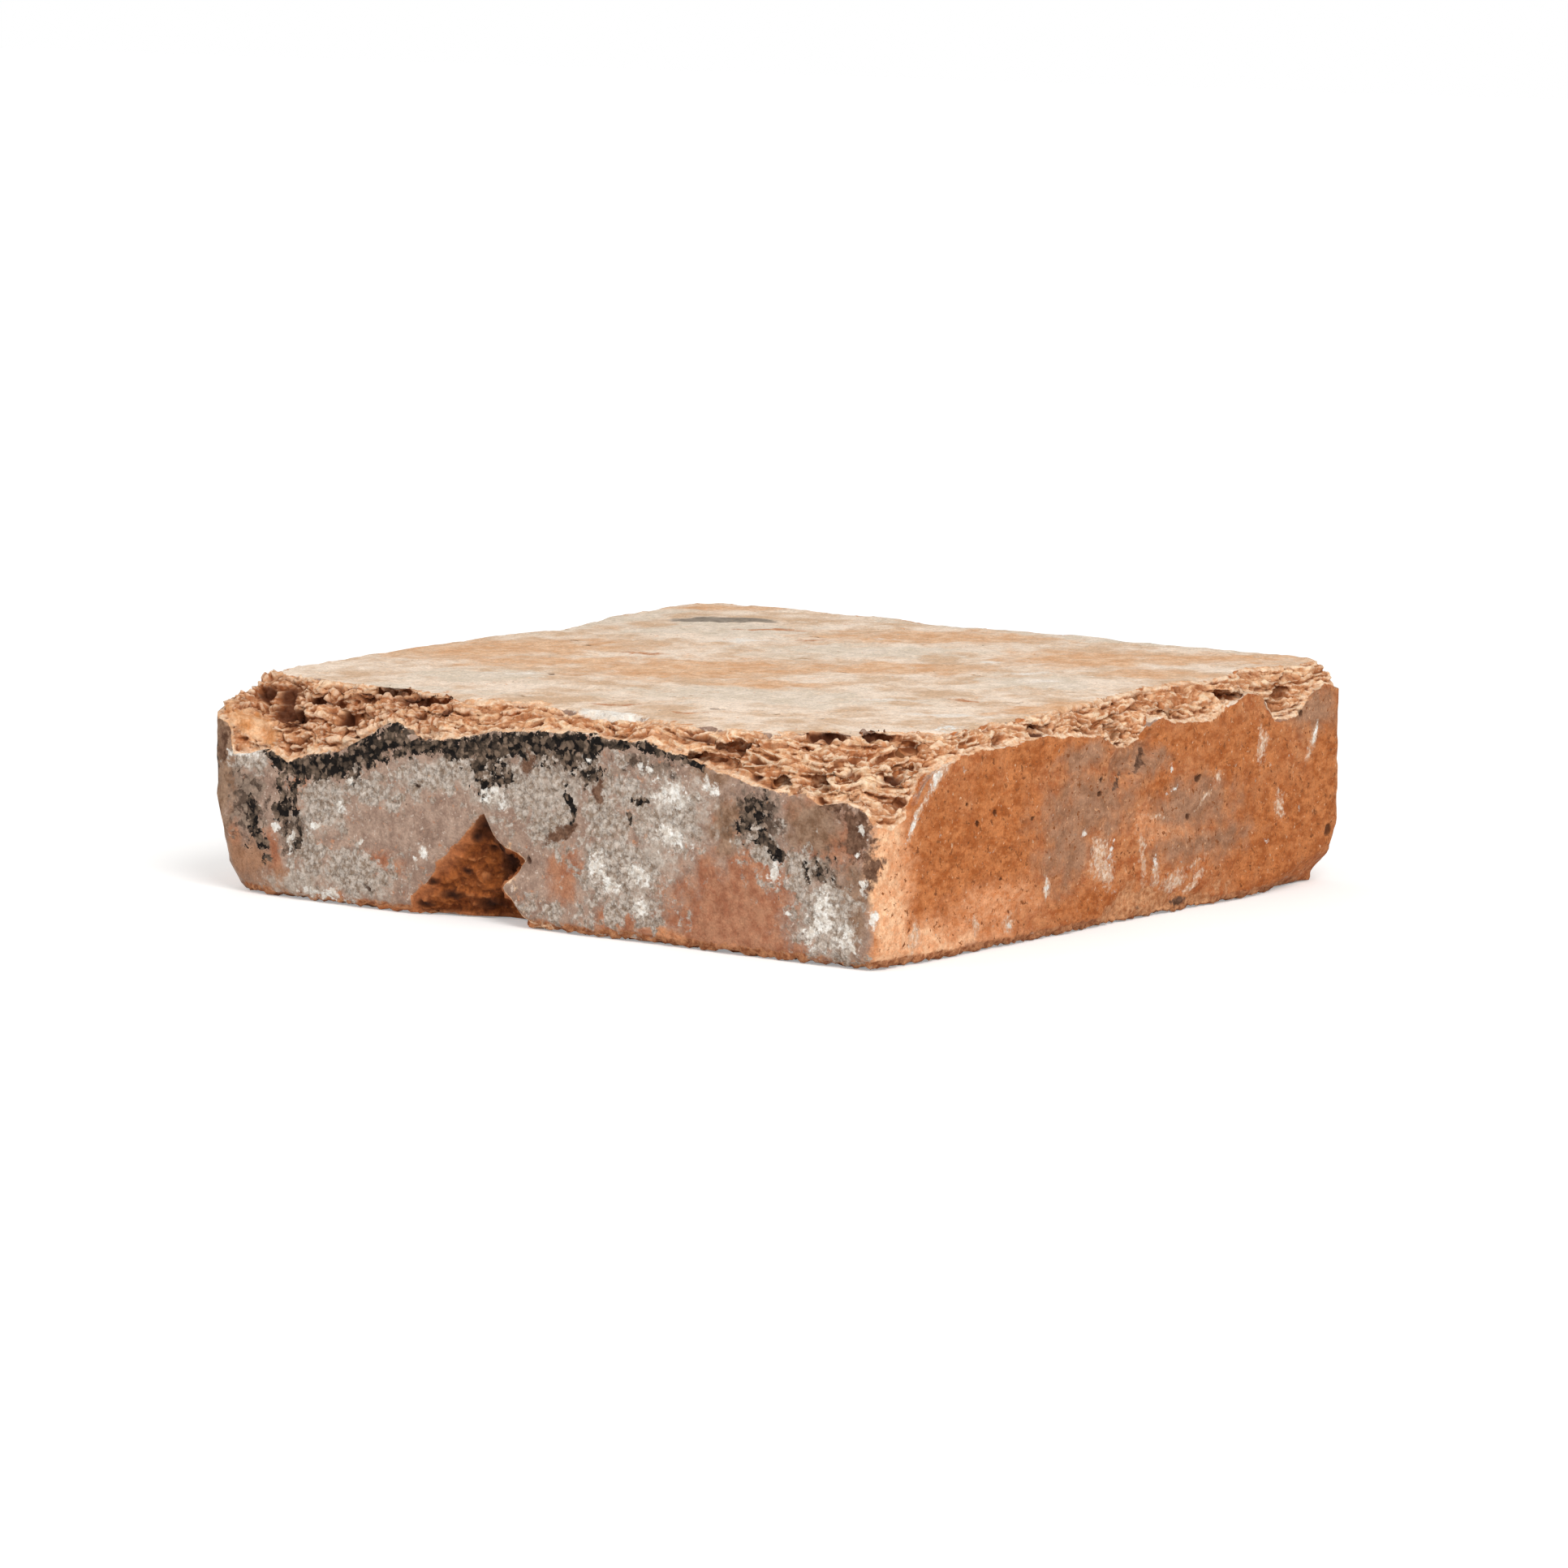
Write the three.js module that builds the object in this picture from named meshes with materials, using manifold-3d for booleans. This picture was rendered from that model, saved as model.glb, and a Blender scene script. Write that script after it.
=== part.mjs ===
// Old hand-moulded square clay brick, 9 inches on a side. All sizes are in millimetres.
// +Z is up, the bed face lies on z = 0 and the origin is at the middle of the brick's footprint.
// The front face is -Y and the right face is +X. The brick is one fired piece. Its vertical
// section is lofted round the plan outline, so that each stretch of the broken top arris has its
// own depth. Deeper spalls are then cut out of it as rough cleavage planes.

import * as THREE from "three";
import { ImprovedNoise } from "three/addons/math/ImprovedNoise.js";
import { mergeVertices } from "three/addons/utils/BufferGeometryUtils.js";
import Module from "manifold-3d";

// Driving dimensions
const SIDE = 228; // length and width, 9 inches
const HALF = SIDE / 2;
const THICKNESS = 60.8; // at the middle of the brick
const WEDGE_PER_MM = 0.021; // the brick is thicker towards its back by this much per millimetre
const LEAN_PER_MM = -0.0026; // and a little thinner towards its right

// The four sides in the order of a walk round the brick. A side runs along `along`, and its
// corner radius is the one at its far end. Deep breaks need closer points than worn edges.
const SIDES = [
  { name: "front", along: [1, 0], outward: [0, -1], spacing: 3.3, cornerRadius: 3 },
  { name: "right", along: [0, 1], outward: [1, 0], spacing: 3.3, cornerRadius: 6 },
  { name: "back", along: [-1, 0], outward: [0, 1], spacing: 6.5, cornerRadius: 6 },
  { name: "left", along: [0, -1], outward: [-1, 0], spacing: 6.5, cornerRadius: 6 },
];
const CORNER_STEPS = 4;

// The broken top arris of each side: distance along the side from its middle, the height where
// the fired skin ends, and how far in from the face the flat top begins.
const TOP_BREAK = {
  front: [
    [-114, 49.5, 16.5], [-107, 47, 16.5], [-104, 38, 16.5], [-96, 40, 15], [-91, 40.5, 15.5],
    [-85, 38.5, 16], [-77, 41, 16], [-68, 42, 15.5], [-60, 46, 16], [-52, 50.5, 16],
    [-47, 51.5, 14], [-39, 47, 11], [-31, 49, 12], [-20, 50.5, 17], [-12, 52.3, 21],
    [-3, 53, 14], [5, 53.5, 13], [12, 54.5, 14], [26, 53.5, 18.5], [37, 53.5, 9],
    [50, 51, 6.5], [62, 47.5, 7], [73, 46, 8.5], [85, 43, 10], [90, 45, 11.5], [95, 41.5, 12.8],
    [102, 43.5, 15], [109, 42, 16.5], [114, 38, 18.5],
  ],
  right: [
    [-114, 38, 18.5], [-108, 37, 16], [-102, 38.5, 14], [-98, 42, 13], [-92, 49, 11],
    [-84, 51, 7.5], [-75, 53, 4.5], [-60, 53.5, 6], [-50, 53.5, 5.5], [-38, 55, 5.5],
    [-24, 53, 7], [-12, 52, 8], [-3, 48, 9], [5, 47.5, 10], [10, 49, 11], [14, 55, 12],
    [25, 53, 14], [34, 52, 14], [44, 52, 13], [54, 55, 11], [63, 58, 8.5], [70, 56, 9.5],
    [76, 48.5, 11], [82, 48, 12], [89, 50, 12], [97, 55.5, 10], [106, 56.5, 7], [114, 55, 5],
  ],
  back: [
    [-114, 55, 5], [-96, 58.5, 3], [-70, 59.5, 3], [-48, 56, 5], [-30, 59, 3],
    [0, 59.5, 2.5], [16, 55, 7], [30, 56, 6], [44, 60, 2.5], [78, 61, 2], [114, 60, 3],
  ],
  left: [
    [-114, 60, 3], [-96, 60.5, 2], [-66, 60, 2.5], [-54, 56, 6], [-38, 53, 10],
    [-24, 53.5, 9], [-12, 57.5, 4], [24, 57, 3], [52, 57.5, 2.5], [72, 57, 3],
    [93, 56, 4], [100, 53, 7], [106, 51, 11], [114, 49.5, 16.5],
  ],
};

// The worn bottom arris of each side: distance along, height of the wear, and its width in.
const BOTTOM_WEAR = {
  front: [[-114, 26, 5], [-103, 12, 3], [-88, 4, 1.6], [0, 2.5, 1.2], [92, 3, 1.4], [114, 4, 2.2]],
  right: [
    [-114, 4, 2.2], [-90, 2.6, 1.2], [0, 3, 1.4], [66, 3, 1.6], [80, 5, 3], [92, 5, 3],
    [104, 12, 3], [114, 18, 5],
  ],
  back: [[-114, 18, 5], [-98, 6, 2], [-20, 3, 1.5], [30, 7, 3.5], [48, 3, 1.5], [114, 9, 4]],
  left: [[-114, 9, 4], [-70, 3, 1.5], [-40, 3, 1.5], [0, 8, 4], [20, 3, 1.5], [90, 8, 2], [114, 26, 5]],
};

const FADE_DEPTH = 30; // no broken arris reaches further in than this
const FADE_RADIUS = 14; // corner radius of the outline at that depth
const SIDE_ROWS = 2; // rows of points up the fired skin
const LEDGE = 1.1; // the skin stands this proud of the broken clay under its rim

// The broken clay steps up in flat-lying layers, as it was thrown into the mould. How far up the
// break the layers' beds are, and how far in each layer's torn front stands.
const LAYER_BEDS = [0, 0.22, 0.47, 0.72, 0.93];
const LAYER_FRONTS = [0.06, 0.24, 0.46, 0.76];
const BED_WANDER = 0.06; // each layer thickens and thins by this share of the break's height
const FRONT_WANDER = 2.4; // each front wanders in and out by about this much
const LAYER_DIP = 1.2; // and the layers dip and rise together by this much

// How far each surface stands in and out of its plain form, and how wide its lumps are.
const CRUMB = { relief: 1.1, rise: 0.5, grain: 6 }; // all over the broken clay
const LUMP = { relief: 2, grain: 11 }; // where the clay broke in rounded lumps
const WAVE = { relief: 0.45, grain: 34 }; // the fired skin, as it came out of the mould

const perlin = new ImprovedNoise();

// Rough relief between about -1 and 1. Its lumps are `grain` wide and flattened like moulded clay.
function roughness([x, y, z], grain, flatness = 1, seed = 0) {
  const coarse = perlin.noise(x / grain + seed, y / grain, (z * flatness) / grain);
  const fine = perlin.noise((2.3 * x) / grain, (2.3 * y) / grain + seed, (2.3 * z * flatness) / grain);
  return 1.4 * coarse + 0.6 * fine;
}

// The top is flat but not quite level: its height above a point of the bed.
const topHeight = (x, y) => THICKNESS + WEDGE_PER_MM * y + LEAN_PER_MM * x;

// Values of a table at a distance along a side, joined by straight lines.
function valuesAt(table, distance) {
  const next = Math.max(1, table.findIndex((row) => row[0] >= distance));
  const [a, b] = [table[next - 1], table[next]];
  const share = THREE.MathUtils.clamp((distance - a[0]) / (b[0] - a[0]), 0, 1);
  return a.slice(1).map((value, i) => THREE.MathUtils.lerp(value, b[i + 1], share));
}

const placeOnSide = (side, distance, out) =>
  [0, 1].map((i) => side.along[i] * distance + side.outward[i] * out);

// One vertical station of the loft: where its section stands on the outer outline, where that
// section ends on the inner outline, and the break and wear that it carries.
function station(side, distance, outer, inner) {
  const [skinTop, breakWidth] = valuesAt(TOP_BREAK[side.name], distance);
  const [wearHeight, wearWidth] = valuesAt(BOTTOM_WEAR[side.name], distance);
  return { outer, inner, skinTop, breakWidth, wearHeight, wearWidth };
}

function stationsOfSide(side, previousRadius) {
  const from = previousRadius - HALF;
  const to = HALF - side.cornerRadius;
  const count = Math.round((to - from) / side.spacing);
  const stations = [];
  for (let i = 0; i <= count; i++) {
    const distance = THREE.MathUtils.lerp(from, to, i / count);
    const squeeze = ((FADE_DEPTH + FADE_RADIUS) * distance * Math.abs(distance)) / HALF ** 2;
    const outer = placeOnSide(side, distance, HALF);
    const inner = placeOnSide(side, distance - squeeze, HALF - FADE_DEPTH);
    stations.push(station(side, distance, outer, inner));
  }
  return stations;
}

function stationsOfCorner(side) {
  const stations = [];
  for (let i = 1; i < CORNER_STEPS; i++) {
    const turn = (i / CORNER_STEPS) * (Math.PI / 2);
    const onArc = (depth, radius) =>
      [0, 1].map((k) => {
        const out = HALF - depth - radius * (1 - Math.cos(turn));
        const far = HALF - depth - radius * (1 - Math.sin(turn));
        return out * side.outward[k] + far * side.along[k];
      });
    const [outer, inner] = [onArc(0, side.cornerRadius), onArc(FADE_DEPTH, FADE_RADIUS)];
    stations.push(station(side, HALF, outer, inner));
  }
  return stations;
}

const outline = SIDES.flatMap((side, i) => [
  ...stationsOfSide(side, SIDES[(i + 3) % 4].cornerRadius),
  ...stationsOfCorner(side),
]);

// 1 where the clay broke in rounded lumps, along the left half of the front, and 0 where it
// broke in layers.
const lumpiness = (x, y) => (y < -0.6 * HALF ? THREE.MathUtils.smoothstep(-x, 15, 55) : 0);

// 0 where the arris is only worn round, and 1 where it is broken wide enough to show its layers.
const tornness = (breakWidth) => THREE.MathUtils.smoothstep(breakWidth, 3, 11);

// How far in a rounded arris is at a share of its height.
const roundedReach = (share) => Math.asin(share ** 0.87) / (Math.PI / 2);

// A station's section, from the bed face up to the flat top, as [distance in, height] pairs.
function sectionOf({ outer, skinTop, breakWidth, wearHeight, wearWidth }) {
  const section = [[wearWidth, 0], [0.42 * wearWidth, 0.3 * wearHeight]];
  for (let row = 0; row <= SIDE_ROWS; row++) {
    const height = THREE.MathUtils.lerp(wearHeight, skinTop, row / SIDE_ROWS);
    section.push([0, height]);
  }
  const [x, y] = outer;
  const top = topHeight(x, y);
  const ledge = Math.min(LEDGE, breakWidth / 3);
  const torn = tornness(breakWidth);
  const dip = LAYER_DIP * torn * roughness([x, y, 0], 19, 1, 70);
  const beds = LAYER_BEDS.map((share, bed) => {
    const wander = bed % 4 ? BED_WANDER * roughness([x, y, 0], 17, 1, 30 * bed) : 0;
    return share + THREE.MathUtils.clamp(wander, -0.09, 0.09);
  });
  LAYER_FRONTS.forEach((inwards, layer) => {
    const loose = FRONT_WANDER * torn * (1 - 0.6 * lumpiness(x, y));
    const wander = loose * roughness([x, y, 0], 13, 1, 10 * layer);
    for (const share of [beds[layer] + 0.02, beds[layer + 1] - 0.02]) {
      const reach = THREE.MathUtils.lerp(roundedReach(share), inwards, torn);
      const distance = THREE.MathUtils.lerp(ledge, breakWidth, reach) + wander;
      const height = THREE.MathUtils.lerp(skinTop, top, share);
      section.push([Math.max(distance, ledge), height + dip * Math.sin(Math.PI * share)]);
    }
  });
  section.push([breakWidth + 0.9 * torn * roughness([x, y, 0], 9, 1, 90), top]);
  section.push([FADE_DEPTH, top]);
  return section;
}

// A section's points in space. The broken rows are rough, the skin waves a little as it came
// out of the mould, and the bed face and the top are flat.
function pointsOf(place) {
  const section = sectionOf(place);
  const firstBroken = 3 + SIDE_ROWS;
  const torn = tornness(place.breakWidth);
  return section.map(([inwards, height], row) => {
    const share = inwards / FADE_DEPTH;
    const [x, y] = [0, 1].map((i) => THREE.MathUtils.lerp(place.outer[i], place.inner[i], share));
    const onBed = row === 0;
    const onTop = row >= section.length - 2;
    const broken = row >= firstBroken && !onTop;
    const crumb = CRUMB.relief * roughness([x, y, height], CRUMB.grain, 2);
    const lump = LUMP.relief * lumpiness(x, y) * roughness([x, y, height], LUMP.grain, 1.3, 55);
    const wave = onTop ? 0 : WAVE.relief * roughness([x, y, height], WAVE.grain);
    const shift = broken ? torn * (crumb + lump) : wave;
    const rise = broken ? CRUMB.rise * torn * roughness([x, y, height], CRUMB.grain, 1, 40) : 0;
    const away = Math.hypot(x, y);
    const z = onBed ? 0 : onTop ? topHeight(x, y) : Math.min(height + rise, topHeight(x, y) - 0.2);
    return [x + (shift * x) / away, y + (shift * y) / away, z];
  });
}

// Closes the loft: quads between neighbouring stations, and flat caps on the bed and the top.
function loft(stations) {
  const columns = stations.map(pointsOf);
  const rows = columns[0].length;
  const indices = [];
  const at = (column, row) => (column % columns.length) * rows + row;
  for (let c = 0; c < columns.length; c++) {
    for (let r = 0; r + 1 < rows; r++) {
      indices.push(at(c, r), at(c + 1, r), at(c + 1, r + 1));
      indices.push(at(c, r), at(c + 1, r + 1), at(c, r + 1));
    }
  }
  const cap = (row, facesUp) => {
    const ring = columns.map((column) => new THREE.Vector2(column[row][0], column[row][1]));
    for (const [a, b, c] of THREE.ShapeUtils.triangulateShape(ring, [])) {
      indices.push(...(facesUp ? [a, b, c] : [a, c, b]).map((i) => at(i, row)));
    }
  };
  cap(0, false);
  cap(rows - 1, true);
  return new THREE.BufferGeometry()
    .setAttribute("position", new THREE.Float32BufferAttribute(columns.flat(2), 3))
    .setIndex(indices);
}

// A spall is cut by a block that lies outside the brick and reaches in to a rough floor. The
// floor's depth below the face is the least of its cleavage planes, so the planes' edges on the
// face are the spall's outline. `u` runs along the face, `v` up it, and both are in millimetres.
function spallCutter({ origin, along, up, width, height, cell, floor, grain, relief, seed }) {
  const [across, rise] = [width / cell, height / cell].map(Math.round);
  const block = new THREE.BoxGeometry(width, height, 1, across, rise, 1);
  const inwards = new THREE.Vector3().crossVectors(up, along).normalize();
  const position = block.attributes.position;
  const clearance = 6;
  for (let i = 0; i < position.count; i++) {
    const [u, v] = [position.getX(i), position.getY(i)];
    const isFloor = position.getZ(i) < 0;
    const place = origin.clone().addScaledVector(along, u).addScaledVector(up, v);
    const rough = relief * roughness(place.toArray(), grain, 1.6, seed);
    const depth = isFloor ? Math.max(floor(u, v) + rough, 1 - clearance) : -clearance;
    place.addScaledVector(inwards, depth);
    position.setXYZ(i, ...place.toArray());
  }
  return block;
}

// Distance of (u, v) to the right of the line from a to b.
const rightOf = ([u, v], a, b) =>
  ((u - a[0]) * (b[1] - a[1]) - (v - a[1]) * (b[0] - a[0])) / Math.hypot(b[0] - a[0], b[1] - a[1]);

const X = new THREE.Vector3(1, 0, 0);
const Y = new THREE.Vector3(0, 1, 0);
const Z = new THREE.Vector3(0, 0, 1);

// Wedge-shaped spall in the front face: it rises from the bed arris to a point, slopes in gently
// from its left leg, and is deepest along the steep wall on its right.
const frontWedge = {
  origin: new THREE.Vector3(-19, -HALF, 14),
  along: X, up: Z, width: 68, height: 44, cell: 2, grain: 7, relief: 1, seed: 3,
  floor: (u, v) => {
    const leftLeg = rightOf([u, v], [-31, -16], [2, 18]);
    const upperRight = Math.max(
      rightOf([u, v], [2, 18], [6.5, 9]), rightOf([u, v], [6.5, 9], [19, 4.5]));
    const lowerRight = rightOf([u, v], [19, 4.5], [10, -4]);
    const foot = rightOf([u, v], [10.5, -4], [20, -15.5]);
    const wall = Math.min(2.2 * upperRight, 2.6 * Math.max(lowerRight, foot));
    const saddle = Math.abs(v - 0.45 * u + 6) < 5 ? 1.2 : 0;
    return Math.min(0.6 * leftLeg, wall, 13) - saddle;
  },
};

// Hollow in the front left corner: a smooth ledge slopes down from the left into a deep cleft
// on the right, under a steep back wall.
const cornerHollow = {
  origin: new THREE.Vector3(-98, -HALF + 9, 58),
  along: X, up: Y, width: 48, height: 36, cell: 2.4, grain: 7, relief: 0.7, seed: 11,
  floor: (u, v) => Math.min(10.8 + 0.24 * u, 3 * (11 - u), 1.7 * (8 - v), 1.1 * (u + 16)),
};

// Gouge that runs up the right face into its broken arris.
const rightGouge = {
  origin: new THREE.Vector3(HALF, 6, 44),
  along: new THREE.Vector3(0, 0.92, 0.39), up: new THREE.Vector3(0, -0.39, 0.92),
  width: 46, height: 28, cell: 2.3, grain: 7, relief: 1, seed: 5,
  floor: (u, v) => 2.9 * (1 - (u / 15) ** 2 - (v > 0 ? v / 8 : v / 4.5) ** 2),
};

// Shallow band of lost skin along the right face's bed arris.
const rightFootBand = {
  origin: new THREE.Vector3(HALF, 18, 4),
  along: Y, up: Z, width: 90, height: 26, cell: 2.8, grain: 8, relief: 0.9, seed: 8,
  floor: (u, v) =>
    Math.min(2.1, 0.4 * (4.5 + 2.5 * Math.cos((u + 8) / 9) - v), 0.3 * (u + 28), 0.1 * (40 - u)),
};

// Broken lower end of the right face, at the back corner.
const rightFootCorner = {
  origin: new THREE.Vector3(HALF, HALF - 14, 6),
  along: Y, up: Z, width: 44, height: 28, cell: 2.8, grain: 8, relief: 0.8, seed: 14,
  floor: (u, v) => Math.min(7, 0.9 * rightOf([u, v], [-30, -4.5], [14.5, 7])),
};

// Scoops on the hidden sides, where corners have been knocked.
const backScoop = {
  origin: new THREE.Vector3(-22, HALF, 58),
  along: X.clone().negate(), up: Z, width: 60, height: 34, cell: 3.4, grain: 9, relief: 0.9, seed: 21,
  floor: (u, v) => Math.min(6, 0.36 * (u + 23), 0.9 * (15 - u), 0.75 * (v + 9 + 0.16 * u)),
};
const leftFootScoop = {
  origin: new THREE.Vector3(-HALF, -2, 2),
  along: Y.clone().negate(), up: Z, width: 56, height: 32, cell: 3.4, grain: 9, relief: 0.9, seed: 27,
  floor: (u, v) => Math.min(6, 0.4 * (u + 21), 0.8 * (16 - u), 0.7 * (11 - v - 0.2 * u)),
};

// Deep crevices between the layers, as rough flat lenses: the middle, and the half sizes along
// X, Y and Z.
const CREVICES = [
  [[-60, -100, 57.8], [9, 5, 1.3]], [[-42, -105, 57], [9, 5, 1.2]], [[-83, -104, 53.6], [6, 4, 1.4]],
  [[-17, -103, 57.2], [6, 4, 1]], [[57, -111, 50.6], [9, 4.5, 1.6]], [[64, -108, 53.8], [7, 4.5, 1.4]],
  [[87, -99, 57.8], [10, 5, 1.2]], [[99, -91, 57.4], [7, 7, 1.2]], [[92, -109, 46.8], [5, 4, 1.6]],
  [[82, -110.5, 46.4], [3.4, 4, 1.8]], [[111, -38, 56.2], [4, 7, 1.1]], [[110, 57, 57], [5, 9, 1.4]],
  [[108, 85, 55.4], [5, 5, 1.7]],
];

function crevice([middle, halfSizes]) {
  const lens = new THREE.IcosahedronGeometry(1, 1);
  const position = lens.attributes.position;
  for (let i = 0; i < position.count; i++) {
    const point = new THREE.Vector3().fromBufferAttribute(position, i);
    point.multiplyScalar(1 + 0.3 * roughness(point.toArray(), 0.9, 1, middle[0]));
    position.setXYZ(i, ...point.toArray());
  }
  return lens.scale(...halfSizes).translate(...middle);
}

const wasm = await Module();
wasm.setup();

function solidOf(geometry) {
  const bare = geometry.clone();
  bare.deleteAttribute("normal");
  bare.deleteAttribute("uv");
  const merged = mergeVertices(bare, 1e-4);
  const vertProperties = new Float32Array(merged.attributes.position.array);
  const triVerts = new Uint32Array(merged.index.array);
  return new wasm.Manifold(new wasm.Mesh({ numProp: 3, vertProperties, triVerts }));
}

function geometryOf(solid) {
  const mesh = solid.getMesh();
  return new THREE.BufferGeometry()
    .setAttribute("position", new THREE.BufferAttribute(mesh.vertProperties, 3))
    .setIndex(new THREE.BufferAttribute(mesh.triVerts, 1));
}

const spalls = [
  frontWedge, cornerHollow, rightGouge, rightFootBand, rightFootCorner, backScoop, leftFootScoop,
];
const cutters = [...spalls.map(spallCutter), ...CREVICES.map(crevice)];
const solid = cutters.reduce(
  (body, cutter) => body.subtract(solidOf(cutter)),
  solidOf(loft(outline)),
);

// The footprint's middle is the origin.
const brickGeometry = geometryOf(solid);
brickGeometry.computeBoundingBox();
const { min, max } = brickGeometry.boundingBox;
brickGeometry.translate(-(min.x + max.x) / 2, -(min.y + max.y) / 2, -min.z);
brickGeometry.computeVertexNormals();

const firedClay = new THREE.MeshStandardMaterial({
  name: "fired_clay", color: "#b98463", roughness: 0.92, metalness: 0, flatShading: true,
});
const brick = new THREE.Mesh(brickGeometry, firedClay);
brick.name = "brick";

const group = new THREE.Group();
group.name = "square_clay_brick";
group.add(brick);

export default group;
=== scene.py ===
# An old square clay brick: a fired skin, a band of broken clay along the top edges, a wedge
# knocked out of one foot, and a life's worth of soot and lime on it.

import math

import bmesh
import bpy
import numpy as np
from mathutils import Matrix, Vector, noise


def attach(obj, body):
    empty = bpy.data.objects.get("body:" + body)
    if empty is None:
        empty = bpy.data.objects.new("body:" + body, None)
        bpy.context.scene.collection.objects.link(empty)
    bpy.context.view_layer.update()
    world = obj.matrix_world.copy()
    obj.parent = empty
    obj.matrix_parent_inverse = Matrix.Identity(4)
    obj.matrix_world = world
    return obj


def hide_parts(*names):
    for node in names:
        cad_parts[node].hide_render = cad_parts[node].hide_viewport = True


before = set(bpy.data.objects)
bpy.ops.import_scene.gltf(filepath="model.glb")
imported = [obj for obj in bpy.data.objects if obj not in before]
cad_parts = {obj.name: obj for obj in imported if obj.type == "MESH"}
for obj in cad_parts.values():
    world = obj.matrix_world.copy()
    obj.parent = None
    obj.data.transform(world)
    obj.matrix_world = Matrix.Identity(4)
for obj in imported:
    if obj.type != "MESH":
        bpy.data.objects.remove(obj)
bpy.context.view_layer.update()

# Sizes and places are in millimetres unless a note says otherwise.
toMetres = 0.001
farOutside = -3.0  # what a field says well away from its own place


def linear(hexColour):
    channels = [int(hexColour[i:i + 2], 16) / 255 for i in (1, 3, 5)]
    curved = [c / 12.92 if c <= 0.04045 else ((c + 0.055) / 1.055) ** 2.4 for c in channels]
    return (*curved, 1.0)


# A node that is given as an input stands for its first output.
def addNode(tree, kind, settings=None, inputs=None):
    node = tree.nodes.new(kind)
    for name, value in (settings or {}).items():
        setattr(node, name, value)
    for key, value in (inputs or {}).items():
        if isinstance(value, bpy.types.Node):
            value = value.outputs[0]
        if isinstance(value, bpy.types.NodeSocket):
            tree.links.new(value, node.inputs[key])
        else:
            node.inputs[key].default_value = value
    return node


brick = {
    "half": 114.0,  # from the middle to each side face
    # the flat top: height at the middle, rise per mm along x and y, and what it is all above
    "topHeight": 60.8, "topRise": (-0.0026, 0.021), "topFrom": 50,
    "weld": 0.001, "voxel": 0.6, "triangles": 192000,
    # the seed is also where the first relief's noise is looked up, and each next one is so far on
    "seed": 7, "seedSteps": (17.0, 5.0, 3.0),
    # how far outlines wander and over what length: broadly, then finely
    "strays": ((2.6, 9), (1.1, 3.2)),
    # height at which the fired skin ends, along x or y
    "rim": {
        "front": [
            (-114, 49.5), (-107, 47), (-104, 38), (-96, 40), (-91, 40.5), (-85, 38.5), (-77, 41),
            (-68, 42), (-60, 46), (-52, 50.5), (-47, 51.5), (-39, 47), (-31, 49), (-20, 50.5),
            (-12, 52.3), (-3, 53), (5, 53.5), (12, 54.5), (26, 53.5), (37, 53.5), (50, 51),
            (62, 47.5), (73, 46), (85, 43), (90, 45), (95, 41.5), (102, 43.5), (109, 42), (114, 38),
        ],
        "right": [
            (-114, 38), (-108, 37), (-102, 38.5), (-98, 42), (-92, 49), (-84, 51), (-75, 53),
            (-60, 53.5), (-50, 53.5), (-38, 55), (-24, 53), (-12, 52), (-3, 48), (5, 47.5),
            (10, 49), (14, 55), (25, 53), (34, 52), (44, 52), (54, 55), (63, 58), (70, 56),
            (76, 48.5), (82, 48), (89, 50), (97, 55.5), (106, 56.5), (114, 55),
        ],
        "back": [
            (-114, 60), (-78, 61), (-44, 60), (-30, 56), (-16, 55), (0, 59.5), (30, 59), (48, 56),
            (70, 59.5), (96, 58.5), (114, 55),
        ],
        "left": [
            (-114, 49.5), (-106, 51), (-100, 53), (-93, 56), (-72, 57), (-52, 57.5), (-24, 57),
            (12, 57.5), (24, 53.5), (38, 53), (54, 56), (66, 60), (96, 60.5), (114, 60),
        ],
    },
    # where broken clay begins: over the rim, under the flat top, and in from a side face above
    # the height at which the break has its foot
    "aboveRim": 0.2, "underTop": 0.25, "inFromSide": 2.5, "breakFoot": 34,
    # boxes, low corner and high corner: round the gouge, which is no part of the break, and
    # round the chips in the side faces
    "gougeRound": ((100, -16, -1), (120, 28, 54)),
    "chips": {
        "wedge": ((-56, -115, -1), (8, -95, 35)),
        "gouge": ((105, -14, 31), (115, 26, 54)),
        "footBand": ((105, -14, -1), (115, 62, 13)),
        "backScoop": ((-46, 95, 44), (2, 115, 64)),
        "leftFoot": ((-115, -26, -1), (-95, 22, 20)),
    },
    # how far in from the face a chip begins, and how it deepens per mm from its ends
    "chipIn": 0.8, "chipRise": 0.3,
    # the smooth ledge in the front left corner: middle, half sizes, and its fall to the right
    "ledge": {"middle": (-101, -110, 46.5), "half": (11, 6, 3.4), "fall": 0.38},
    # the crumbled bottom arris, from none to full: out from the middle, and up the side
    "foot": {"out": (106, 110), "up": (3.6, 1.0)},
}

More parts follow.
